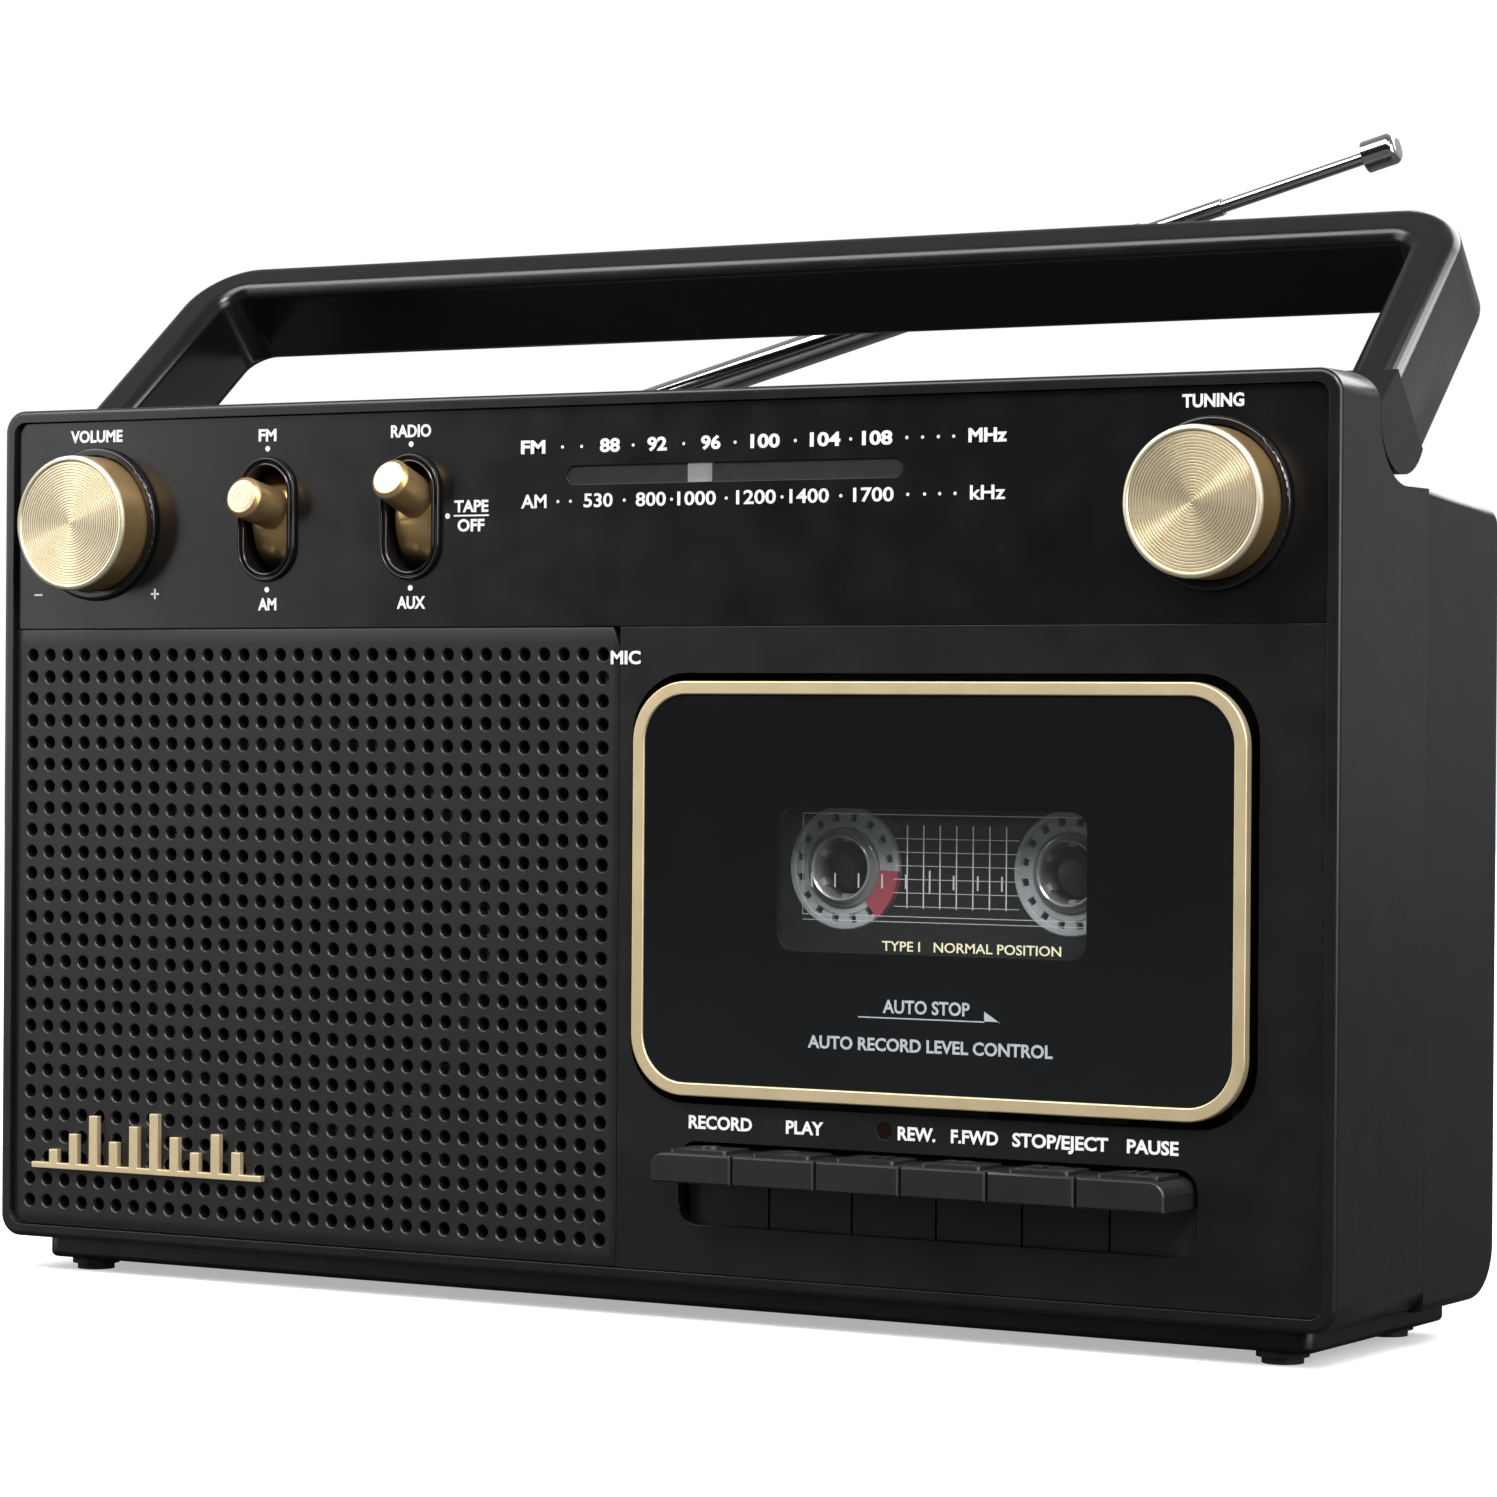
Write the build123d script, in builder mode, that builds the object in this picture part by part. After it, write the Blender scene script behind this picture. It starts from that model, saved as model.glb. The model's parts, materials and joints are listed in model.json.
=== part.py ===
from build123d import *

import os
from math import cos, pi, radians, sin

# Portable AM/FM radio cassette recorder with a swing handle and a telescopic aerial.
# Millimetres. +X to the viewer's right, +Y to the back, +Z up. The origin lies on the surface that
# the feet stand on, below the middle of the overall box. Depths are measured back from the front lip.

os.makedirs("parts", exist_ok=True)

# ---------------------------------------------------------------- driving dimensions
BODY_W = 267.0
BODY_H = 151.5
BODY_BASE = 6.3                      # underside of the body above the table
BODY_TOP = BODY_BASE + BODY_H
BODY_MID = BODY_BASE + BODY_H / 2
SEAM = 35.2                          # depth where the front and rear shells meet
REAR = 66.0                          # depth of the back face
LIP_Y = -38.855                      # world Y of the front lip
WALL = 2.2
SHELL_CORNER = 4.0

PANEL_W = BODY_W - 4.4               # opening inside the front lip
PANEL_TOP = BODY_TOP - WALL
PANEL_BASE = BODY_BASE + WALL
PANEL_FACE = 1.0                     # panel faces sit this far behind the lip
PANEL_BACK = 3.3
SPLIT = 117.75                       # height of the joint between the upper and lower panels
GAP = 0.1                            # assembly gap between neighbouring panels

HANDLE_PIVOT = (25.5, 151.3)         # depth and height of the handle's hinge line
SCOOP_R = 10.2
DECK_TOP = 140.3                     # top of the low rear deck at the seam
DECK_DROP = 2.4                      # fall of that deck from the seam to the back

KNOB_Z = 136.8
VOLUME_X = -112.8
TUNING_X = 111.0
KNOB_R = 12.2
KNOB_FACE = -7.1
WELL_RING_R = 13.9

BAND_X = -74.4
FUNCTION_X = -43.4
LEVER_Z = 137.1
LEVER_PIVOT = 11.5                   # depth of the levers' hinge line
LEVER_REACH = 18.65                  # hinge line to the lever's tip
BAND_UP = 11.7                       # degrees above level in the FM position
FUNCTION_UP = 20.5                   # degrees above level in the RADIO position
BEZEL_SIZE = (12.6, 22.2)
BEZEL_HOLE = (8.8, 18.6)

DIAL_X = 21.9
DIAL_Z = 143.7
DIAL_SIZE = (65.7, 3.2)
POINTER_X = 13.3

GRILLE_PITCH = 4.0
GRILLE_COLUMNS = 32
GRILLE_ROWS = 26
GRILLE_FIRST = (-127.4, 112.96)
GRILLE_HOLE_R = 1.15
PANEL_DIVIDE = 0.0                   # x where the grille meets the cassette fascia

DOOR_X = 61.1
DOOR_Z = 73.5
DOOR_SIZE = (114.2, 69.9)
DOOR_CORNER = 10.3
DOOR_FACE = -1.1
DOOR_BACK = 0.95
TRIM_WIDTH = 2.25
BAY_SIZE = (116.8, 72.7)
BAY_CORNER = 10.7
WINDOW = (61.2, 75.5, 57.6, 23.9)    # x, z, width, height
DOOR_PIVOT = (12.0, 30.3)

HUB_PITCH = 42.5
HUB_Z = 77.3
CASSETTE = (100.4, 63.8)
CASSETTE_BASE = HUB_Z - 34.9
CASSETTE_FRONT = 6.9
CASSETTE_BACK = 15.6
CAPSTAN = (89.1, 50.3)

KEY_NAMES = ("record", "play", "rewind", "fast_forward", "stop_eject", "pause")
KEY_FIRST_X = 20.8
KEY_PITCH = 15.92
KEY_W = 15.5
KEY_FRONT = -9.2
KEY_BASE = 24.7
KEY_TOP = 29.6
KEY_SHAFT = (24.0, 21.0)
KEY_SLOT = (60.8, 23.75, 96.7, 14.1)  # x, z, width, height

CHASSIS_FRONT = 18.6
CHASSIS_BACK = 20.1
MOTOR = (34.0, 50.0)

SPEAKER = (-65.5, 63.0)
BATTERY_BAY = (-56.0, 52.0, 108.0, 57.0)  # x, z, width, height

AERIAL_PIVOT = (-119.5, 72.0, 139.5)
AERIAL_RISE = 15.55                  # degrees above level
AERIAL_LEAN = 2.97                  # degrees away from the back


def facing(depth):
    """Plane parallel to the front panel. Local axes are x and z, and extruding goes forward."""
    return Plane(origin=(0, LIP_Y + depth, 0), x_dir=(1, 0, 0), z_dir=(0, -1, 0))


def side(x):
    """Plane across the object. Local axes are depth and z, and extruding goes to the right."""
    return Plane(origin=(x, LIP_Y, 0), x_dir=(0, 1, 0), z_dir=(1, 0, 0))


def level(z):
    """Horizontal plane. Local axes are x and depth, and extruding goes up."""
    return Plane(origin=(0, LIP_Y, z), x_dir=(1, 0, 0), z_dir=(0, 0, 1))


def save(builder, name):
    """Labels a finished piece and writes its file."""
    builder.part.label = name
    export_step(builder.part, f"parts/{name}.step")


def deck_height(depth):
    """Height of the rear deck's top surface."""
    return DECK_TOP - DECK_DROP * (depth - SEAM) / (REAR - SEAM)


# ---------------------------------------------------------------- shells
PIVOT_D, PIVOT_Z = HANDLE_PIVOT
HUMP_BACK = PIVOT_D - SCOOP_R
SCREWS = [(x, z) for x in (-126.5, 126.5) for z in (18.0, 63.0, 108.0)]
BOSS_FRONT = 44.2                    # depth where the shells' screw posts meet
LEDGE = 1.5
CAVITY_FRONT = PANEL_BACK

with BuildPart() as front_cabinet:
    with BuildSketch(facing(SEAM)):
        with Locations((0, BODY_MID)):
            RectangleRounded(BODY_W, BODY_H, SHELL_CORNER)
    extrude(amount=SEAM)
    lip_edges = front_cabinet.faces().sort_by(Axis.Y)[0].edges()
    fillet(lip_edges, 0.9)
    # opening for the panels
    with BuildSketch(facing(CAVITY_FRONT)):
        with Locations((0, BODY_MID)):
            RectangleRounded(PANEL_W, PANEL_TOP - PANEL_BASE, 2.4)
    extrude(amount=CAVITY_FRONT, mode=Mode.SUBTRACT)
    # cavity behind the panels, following the step in the top
    with BuildSketch(side(-PANEL_W / 2)):
        with BuildLine():
            Polyline(
                (CAVITY_FRONT, PANEL_TOP),
                (CAVITY_FRONT, PANEL_BASE),
                (SEAM, PANEL_BASE),
                (SEAM, DECK_TOP - WALL),
                (PIVOT_D, DECK_TOP - WALL),
            )
            ThreePointArc(
                (PIVOT_D, DECK_TOP - WALL),
                (
                    PIVOT_D - (SCOOP_R + WALL) * cos(pi / 4),
                    PIVOT_Z - (SCOOP_R + WALL + 0.8) * sin(pi / 4),
                ),
                (HUMP_BACK - WALL, PIVOT_Z),
            )
            Polyline(
                (HUMP_BACK - WALL, PIVOT_Z),
                (HUMP_BACK - WALL, PANEL_TOP),
                (CAVITY_FRONT, PANEL_TOP),
            )
        make_face()
    extrude(amount=PANEL_W, mode=Mode.SUBTRACT)
    # the top steps down behind a rounded brow, with a scoop round the handle's feet
    with BuildSketch(side(-BODY_W)):
        with BuildLine():
            ThreePointArc((8.8, BODY_TOP), (13.2, BODY_TOP - 1.5), (HUMP_BACK, BODY_TOP - 5.8))
            Line((HUMP_BACK, BODY_TOP - 5.8), (HUMP_BACK, PIVOT_Z))
            ThreePointArc(
                (HUMP_BACK, PIVOT_Z),
                (PIVOT_D - SCOOP_R * cos(pi / 4), PIVOT_Z - (SCOOP_R + 0.5) * sin(pi / 4)),
                (PIVOT_D, DECK_TOP),
            )
            Polyline(
                (PIVOT_D, DECK_TOP),
                (SEAM + 5, DECK_TOP),
                (SEAM + 5, BODY_TOP + 5),
                (8.8, BODY_TOP + 5),
                (8.8, BODY_TOP),
            )
        make_face()
    extrude(amount=2 * BODY_W, mode=Mode.SUBTRACT)
    # ledge that the panels sit on
    with BuildSketch(facing(CAVITY_FRONT + LEDGE)):
        with Locations((0, BODY_MID)):
            Rectangle(PANEL_W + 0.4, PANEL_TOP - PANEL_BASE + 0.4)
            Rectangle(PANEL_W - 3.0, PANEL_TOP - PANEL_BASE - 3.0, mode=Mode.SUBTRACT)
    extrude(amount=LEDGE)
    # posts that the rear shell's screws bite into, with a web to the side wall
    with BuildSketch(facing(BOSS_FRONT)):
        with Locations(*SCREWS):
            Circle(4.5)
    extrude(amount=BOSS_FRONT - 20.0)
    with BuildSketch(facing(SEAM - 0.2)):
        for x, z in SCREWS:
            with Locations((x + 3.0 * x / abs(x), z)):
                Rectangle(4.5, 5.0)
    extrude(amount=SEAM - 20.2)
    with BuildSketch(facing(BOSS_FRONT)):
        with Locations(*SCREWS):
            Circle(1.5)
    extrude(amount=9.0, mode=Mode.SUBTRACT)
    # hinge bosses for the handle
    for x in (-123.6, 111.6):
        with BuildSketch(side(x)):
            with Locations(HANDLE_PIVOT):
                Circle(6.0)
            with Locations((PIVOT_D, (PIVOT_Z + DECK_TOP) / 2 - 0.6)):
                Rectangle(12.0, PIVOT_Z - DECK_TOP + 1.2)
        extrude(amount=12.0)
        with BuildSketch(side(x)):
            with Locations(HANDLE_PIVOT):
                Circle(2.0)
        extrude(amount=12.0, mode=Mode.SUBTRACT)
save(front_cabinet, "front_cabinet")

BAY_X, BAY_Z, BAY_W, BAY_H = BATTERY_BAY
LID_SIZE = (BAY_W + 4.6, BAY_H + 4.6)
INLET = (112.0, 30.0)
JACKS = ((112.0, 58.0), (112.0, 72.0))
AERIAL_X, AERIAL_D, AERIAL_Z = AERIAL_PIVOT
MOUNT_FACE = 68.6                    # back of the aerial's boss
BACK_INSIDE = REAR - WALL
AERIAL_PIN_R = 2.5
LID_PIN_R = 0.7
LID_HINGE = (REAR - 1.05, BAY_Z - LID_SIZE[1] / 2 + 1.05)
FERRITE = (45.0, 127.5)
FERRITE_X = -20.0
FERRITE_L = 100.0

with BuildPart() as rear_cabinet:
    with BuildSketch(side(-BODY_W / 2)):
        with BuildLine():
            Polyline(
                (SEAM, BODY_BASE),
                (SEAM, DECK_TOP),
                (REAR, deck_height(REAR)),
                (REAR, BODY_BASE),
                (SEAM, BODY_BASE),
            )
        make_face()
    extrude(amount=BODY_W)
    along = rear_cabinet.edges().filter_by(Axis.X)
    back_low = along.sort_by(Axis.Z)[:2].sort_by(Axis.Y)[-1]
    back_high = along.sort_by(Axis.Z)[2:].sort_by(Axis.Y)[-1]
    fillet(back_low, 9.0)
    fillet(back_high, 3.5)
    rear_edges = rear_cabinet.faces().sort_by(Axis.Y)[-1].edges().filter_by(Axis.Z)
    fillet(rear_edges, 1.5)
    with BuildSketch(side(-PANEL_W / 2)):
        with BuildLine():
            Polyline(
                (SEAM, PANEL_BASE),
                (SEAM, DECK_TOP - WALL),
                (BACK_INSIDE, deck_height(BACK_INSIDE) - WALL - 1.6),
                (BACK_INSIDE, PANEL_BASE + 9.0),
                (BACK_INSIDE - 7.0, PANEL_BASE),
                (SEAM, PANEL_BASE),
            )
        make_face()
    extrude(amount=PANEL_W, mode=Mode.SUBTRACT)
    # screw bosses with counterbores
    with BuildSketch(facing(BACK_INSIDE + 0.5)):
        with Locations(*SCREWS):
            Circle(5.2)
    extrude(amount=BACK_INSIDE + 0.5 - BOSS_FRONT)
    with BuildSketch(facing(REAR)):
        with Locations(*SCREWS):
            Circle(3.4)
    extrude(amount=5.0, mode=Mode.SUBTRACT)
    with BuildSketch(facing(REAR)):
        with Locations(*SCREWS):
            Circle(1.6)
    extrude(amount=REAR - BOSS_FRONT + 1.0, mode=Mode.SUBTRACT)
    # battery lid, mains inlet and jack openings
    with BuildSketch(facing(REAR)):
        with Locations((BAY_X, BAY_Z)):
            Rectangle(LID_SIZE[0] + 0.6, LID_SIZE[1] + 0.6)
        with Locations(INLET):
            Rectangle(17.0, 12.0)
        with Locations(*JACKS):
            Circle(4.0)
    extrude(amount=WALL + 0.6, mode=Mode.SUBTRACT)
    # boss for the aerial
    with BuildSketch(facing(MOUNT_FACE)):
        with Locations((AERIAL_X, AERIAL_Z - 5.0)):
            SlotCenterToCenter(10.0, 14.0, rotation=90)
    extrude(amount=MOUNT_FACE - BACK_INSIDE + 3.0)
    with BuildSketch(facing(MOUNT_FACE)):
        with Locations((AERIAL_X, AERIAL_Z)):
            Circle(AERIAL_PIN_R + 0.05)
    extrude(amount=7.0, mode=Mode.SUBTRACT)
    # sockets for the battery lid's hinge pins
    for x in (BAY_X - LID_SIZE[0] / 2 - 1.8, BAY_X + LID_SIZE[0] / 2 - 0.2):
        with BuildSketch(side(x)):
            with Locations(LID_HINGE):
                Circle(LID_PIN_R + 0.05)
        extrude(amount=2.0, mode=Mode.SUBTRACT)
    # hangers for the ferrite aerial
    for x in (FERRITE_X - FERRITE_L / 2 + 4.0, FERRITE_X + FERRITE_L / 2 - 7.0):
        with BuildSketch(side(x)):
            with Locations((FERRITE[0], FERRITE[1] + 2.0)):
                Rectangle(13.0, 16.0)
            with Locations(FERRITE):
                Circle(4.5, mode=Mode.SUBTRACT)
        extrude(amount=3.0)
save(rear_cabinet, "rear_cabinet")

PLINTH_W = 254.0
PLINTH_FRONT = 5.5
PLINTH_REAR = 61.0
FOOT_H = 2.2

with BuildPart() as base_plinth:
    with BuildSketch(level(FOOT_H)):
        with Locations((0, (PLINTH_FRONT + PLINTH_REAR) / 2)):
            RectangleRounded(PLINTH_W, PLINTH_REAR - PLINTH_FRONT, 2.5)
    extrude(amount=BODY_BASE - FOOT_H)
    under = base_plinth.faces().sort_by(Axis.Z)[0]
    fillet(under.edges(), 1.0)
    with BuildSketch(level(FOOT_H)):
        with Locations((0, SEAM)):
            Rectangle(PLINTH_W + 2, 0.5)
    extrude(amount=1.0, mode=Mode.SUBTRACT)
save(base_plinth, "base_plinth")

FEET = [(x, depth) for x in (-119.7, 119.7) for depth in (11.0, 53.0)]

with BuildPart() as rubber_feet:
    with BuildSketch(level(0)):
        with Locations(*FEET):
            Circle(3.4)
    extrude(amount=FOOT_H)
    with BuildSketch(level(1.1)):
        with Locations(*FEET):
            Circle(4.3)
    extrude(amount=FOOT_H - 1.1)
save(rubber_feet, "rubber_feet")

with BuildPart() as cabinet_screws:
    with BuildSketch(facing(REAR - 3.0)):
        with Locations(*SCREWS):
            Circle(3.1)
    extrude(amount=2.0)
    with BuildSketch(facing(REAR - 4.5)):
        with Locations(*SCREWS):
            Circle(1.45)
    extrude(amount=24.0)
    with BuildSketch(facing(REAR - 3.0)):
        with Locations(*SCREWS):
            Rectangle(4.2, 0.9)
            Rectangle(0.9, 4.2)
    extrude(amount=1.2, mode=Mode.SUBTRACT)
save(cabinet_screws, "cabinet_screws")

# ---------------------------------------------------------------- front panels
RIGHT_EDGE = PANEL_W / 2 - GAP
BOARD_FRONT = 16.0
BOARD_BACK = 17.6

with BuildPart() as control_panel:
    with BuildSketch(facing(PANEL_BACK)):
        with BuildLine():
            Polyline(
                (-RIGHT_EDGE, PANEL_TOP - GAP),
                (-RIGHT_EDGE, SPLIT),
                (RIGHT_EDGE, SPLIT),
                (RIGHT_EDGE, PANEL_TOP - GAP),
                (-RIGHT_EDGE, PANEL_TOP - GAP),
            )
        make_face()
    extrude(amount=PANEL_BACK - PANEL_FACE)
    top_corners = control_panel.edges().filter_by(Axis.Y).group_by(Axis.Z)[-1]
    fillet(top_corners, 2.3)
    with BuildSketch(facing(PANEL_BACK)):
        with Locations((VOLUME_X, KNOB_Z), (TUNING_X, KNOB_Z)):
            Circle(WELL_RING_R)
        with Locations((BAND_X, LEVER_Z), (FUNCTION_X, LEVER_Z)):
            SlotOverall(BEZEL_SIZE[1], BEZEL_SIZE[0], rotation=90)
        with Locations((DIAL_X, DIAL_Z)):
            SlotOverall(*DIAL_SIZE)
    extrude(amount=PANEL_BACK - PANEL_FACE, mode=Mode.SUBTRACT)
    # posts that carry the circuit board
    with BuildSketch(facing(PANEL_BACK)):
        with Locations((-95.0, 126.0), (-25.0, 122.5), (35.0, 122.5), (92.0, 122.5)):
            Circle(2.2)
    extrude(amount=PANEL_BACK - BOARD_FRONT)
save(control_panel, "control_panel")

with BuildPart() as speaker_grille:
    with BuildSketch(facing(PANEL_BACK)):
        with BuildLine():
            Polyline(
                (-RIGHT_EDGE, PANEL_BASE + GAP),
                (PANEL_DIVIDE, PANEL_BASE + GAP),
                (PANEL_DIVIDE, SPLIT - GAP),
                (-RIGHT_EDGE, SPLIT - GAP),
                (-RIGHT_EDGE, PANEL_BASE + GAP),
            )
        make_face()
        grille_mid_x = GRILLE_FIRST[0] + GRILLE_PITCH * (GRILLE_COLUMNS - 1) / 2
        grille_mid_z = GRILLE_FIRST[1] - GRILLE_PITCH * (GRILLE_ROWS - 1) / 2
        with Locations((grille_mid_x, grille_mid_z)):
            with GridLocations(GRILLE_PITCH, GRILLE_PITCH, GRILLE_COLUMNS, GRILLE_ROWS):
                Circle(GRILLE_HOLE_R, mode=Mode.SUBTRACT)
    extrude(amount=PANEL_BACK - PANEL_FACE)
    grille_corners = speaker_grille.edges().filter_by(Axis.Y).group_by(Axis.X)[0].sort_by(Axis.Z)
    fillet(grille_corners[0], 2.4)
save(speaker_grille, "speaker_grille")

SLOT_X, SLOT_Z, SLOT_W, SLOT_H = KEY_SLOT
LAMP = (52.2, 34.3)
LUG_W = 3.4

with BuildPart() as deck_fascia:
    with BuildSketch(facing(PANEL_BACK)):
        with BuildLine():
            Polyline(
                (PANEL_DIVIDE + GAP, PANEL_BASE + GAP),
                (RIGHT_EDGE, PANEL_BASE + GAP),
                (RIGHT_EDGE, SPLIT - GAP),
                (PANEL_DIVIDE + GAP, SPLIT - GAP),
                (PANEL_DIVIDE + GAP, PANEL_BASE + GAP),
            )
        make_face()
        with Locations((DOOR_X, DOOR_Z)):
            RectangleRounded(*BAY_SIZE, BAY_CORNER, mode=Mode.SUBTRACT)
        with Locations((SLOT_X, SLOT_Z)):
            RectangleRounded(SLOT_W, SLOT_H, 3.5, mode=Mode.SUBTRACT)
        with Locations(LAMP):
            Circle(1.45, mode=Mode.SUBTRACT)
    extrude(amount=PANEL_BACK - PANEL_FACE)
    fascia_corners = deck_fascia.edges().filter_by(Axis.Y).group_by(Axis.X)[-1].sort_by(Axis.Z)
    fillet(fascia_corners[0], 2.4)
    # lugs and pins that carry the cassette door
    for lug_x, pin_x in ((4.4, 4.4), (114.4, 111.9)):
        with BuildSketch(side(lug_x)):
            with Locations((9.0, DOOR_PIVOT[1])):
                Rectangle(2 * (9.0 - PANEL_BACK) + 0.2, 8.0)
        extrude(amount=LUG_W)
        with BuildSketch(side(pin_x)):
            with Locations(DOOR_PIVOT):
                Circle(1.5)
        extrude(amount=LUG_W + 2.5)
save(deck_fascia, "deck_fascia")

with BuildPart() as knob_wells:
    with BuildSketch(facing(PANEL_BACK)):
        with Locations((VOLUME_X, KNOB_Z), (TUNING_X, KNOB_Z)):
            Circle(WELL_RING_R)
    extrude(amount=PANEL_BACK + 0.2)
    rims = knob_wells.faces().sort_by(Axis.Y)[:2].edges()
    fillet(rims, 0.6)
    with BuildSketch(facing(PANEL_BACK - 0.8)):
        with Locations((VOLUME_X, KNOB_Z), (TUNING_X, KNOB_Z)):
            Circle(KNOB_R + 0.4)
    extrude(amount=PANEL_BACK, mode=Mode.SUBTRACT)
    with BuildSketch(facing(PANEL_BACK)):
        with Locations((VOLUME_X, KNOB_Z), (TUNING_X, KNOB_Z)):
            Circle(3.6)
    extrude(amount=1.0, mode=Mode.SUBTRACT)
save(knob_wells, "knob_wells")

with BuildPart() as lever_bezels:
    with BuildSketch(facing(PANEL_BACK)):
        with Locations((BAND_X, LEVER_Z), (FUNCTION_X, LEVER_Z)):
            SlotOverall(BEZEL_SIZE[1], BEZEL_SIZE[0], rotation=90)
    extrude(amount=PANEL_BACK - 0.1)
    bezel_rims = lever_bezels.faces().sort_by(Axis.Y)[:2].edges()
    fillet(bezel_rims, 0.7)
    with BuildSketch(facing(PANEL_BACK)):
        with Locations((BAND_X, LEVER_Z), (FUNCTION_X, LEVER_Z)):
            SlotOverall(BEZEL_HOLE[1], BEZEL_HOLE[0], rotation=90)
    extrude(amount=PANEL_BACK, mode=Mode.SUBTRACT)
save(lever_bezels, "lever_bezels")

with BuildPart() as dial_lens:
    with BuildSketch(facing(PANEL_BACK)):
        with Locations((DIAL_X, DIAL_Z)):
            SlotOverall(*DIAL_SIZE)
    extrude(amount=PANEL_BACK - PANEL_FACE - 0.3)
    with BuildSketch(facing(PANEL_BACK + 0.8)):
        with Locations((DIAL_X, DIAL_Z)):
            Rectangle(DIAL_SIZE[0] + 5.0, 7.0)
    extrude(amount=0.8)
save(dial_lens, "dial_lens")

with BuildPart() as badge_ornament:
    with BuildSketch(facing(PANEL_FACE)):
        with Locations((-100.0, 19.6)):
            Rectangle(52.0, 1.1)
        for step, height in enumerate((3.0, 6.0, 9.5, 5.0, 8.0, 10.5, 6.5, 4.0, 7.5, 4.5)):
            with Locations((-121.0 + 4.6 * step, 19.6 + height / 2)):
                Rectangle(1.9, height)
    extrude(amount=1.3)
save(badge_ornament, "badge_ornament")

# ---------------------------------------------------------------- knobs, levers and dial
for name, x, shaft_end in (("volume", VOLUME_X, 12.0), ("tuning", TUNING_X, 13.4)):
    with BuildPart() as knob:
        with BuildSketch(facing(PANEL_BACK - 1.5)):
            with Locations((x, KNOB_Z)):
                Circle(KNOB_R)
        extrude(amount=PANEL_BACK - 1.5 - KNOB_FACE)
        chamfer(knob.faces().sort_by(Axis.Y)[0].edges(), 0.6)
        with BuildSketch(facing(PANEL_BACK)):
            with Locations((x, KNOB_Z)):
                Circle(3.0)
        extrude(amount=8.3, mode=Mode.SUBTRACT)
    save(knob, f"{name}_knob")

    with BuildPart() as shaft:
        with BuildSketch(facing(shaft_end)):
            with Locations((x, KNOB_Z)):
                Circle(3.0)
        extrude(amount=shaft_end + 5.0)
        if name == "tuning":
            with BuildSketch(facing(10.2)):
                with Locations((x, KNOB_Z)):
                    Circle(12.2)
            extrude(amount=4.0)
            with BuildSketch(facing(9.0)):
                with Locations((x, KNOB_Z)):
                    Circle(12.2)
                    Circle(11.2, mode=Mode.SUBTRACT)
            extrude(amount=1.6, mode=Mode.SUBTRACT)
    save(shaft, f"{name}_shaft")

with BuildPart() as volume_potentiometer:
    with BuildSketch(facing(13.0)):
        with Locations((VOLUME_X, KNOB_Z)):
            Circle(8.0)
    extrude(amount=7.0)
    with BuildSketch(facing(6.0)):
        with Locations((VOLUME_X, KNOB_Z)):
            Circle(5.0)
    extrude(amount=6.0 - PANEL_BACK)
    with BuildSketch(facing(12.2)):
        with Locations((VOLUME_X, KNOB_Z)):
            Circle(3.05)
    extrude(amount=12.0, mode=Mode.SUBTRACT)
save(volume_potentiometer, "volume_potentiometer")

with BuildPart() as dial_pointer:
    with BuildSketch(facing(5.6)):
        with Locations((POINTER_X, DIAL_Z)):
            Rectangle(4.1, 4.6)
        with Locations((POINTER_X, DIAL_Z + 3.4)):
            Rectangle(2.4, 3.0)
    extrude(amount=1.2)
    with BuildSketch(facing(8.0)):
        with Locations((POINTER_X, DIAL_Z + 4.2)):
            Rectangle(2.4, 1.4)
    extrude(amount=2.6)
save(dial_pointer, "dial_pointer")

LEVER_W = 7.6
LEVER_STICK_R = 3.65
DRUM_R = 9.8
DRUM_ABOVE = 50.0                    # degrees that the drum spans above and below the lever
DRUM_BELOW = 80.0


def on_lever(angle, radius):
    """Depth and height of a point round the levers' hinge line, from level."""
    turn = radians(angle)
    return (LEVER_PIVOT - radius * cos(turn), LEVER_Z + radius * sin(turn))


for name, x, up in (("band", BAND_X, BAND_UP), ("function", FUNCTION_X, FUNCTION_UP)):
    with BuildPart() as lever:
        with BuildSketch(side(x - LEVER_W / 2)):
            with BuildLine():
                Line(on_lever(0, 0), on_lever(up - DRUM_BELOW, DRUM_R))
                ThreePointArc(
                    on_lever(up - DRUM_BELOW, DRUM_R),
                    on_lever(up, DRUM_R),
                    on_lever(up + DRUM_ABOVE, DRUM_R),
                )
                Line(on_lever(up + DRUM_ABOVE, DRUM_R), on_lever(0, 0))
            make_face()
            with Locations((LEVER_PIVOT, LEVER_Z)):
                Circle(3.0)
        extrude(amount=LEVER_W)
        along = Vector(0, -cos(radians(up)), sin(radians(up)))
        hinge = Vector(x, LIP_Y + LEVER_PIVOT, LEVER_Z)
        with BuildSketch(Plane(origin=hinge, x_dir=(1, 0, 0), z_dir=Vector(1, 0, 0).cross(along))):
            with BuildLine():
                Polyline(
                    (0, 5.0),
                    (LEVER_STICK_R, 5.0),
                    (LEVER_STICK_R, LEVER_REACH - 0.7),
                    (LEVER_STICK_R - 0.7, LEVER_REACH),
                    (0, LEVER_REACH),
                    (0, 5.0),
                )
            make_face()
        revolve(axis=Axis(hinge, along))
        with BuildSketch(side(x - LEVER_W / 2)):
            with Locations((LEVER_PIVOT, LEVER_Z)):
                Circle(1.05)
        extrude(amount=LEVER_W, mode=Mode.SUBTRACT)
    save(lever, f"{name}_lever")

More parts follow.
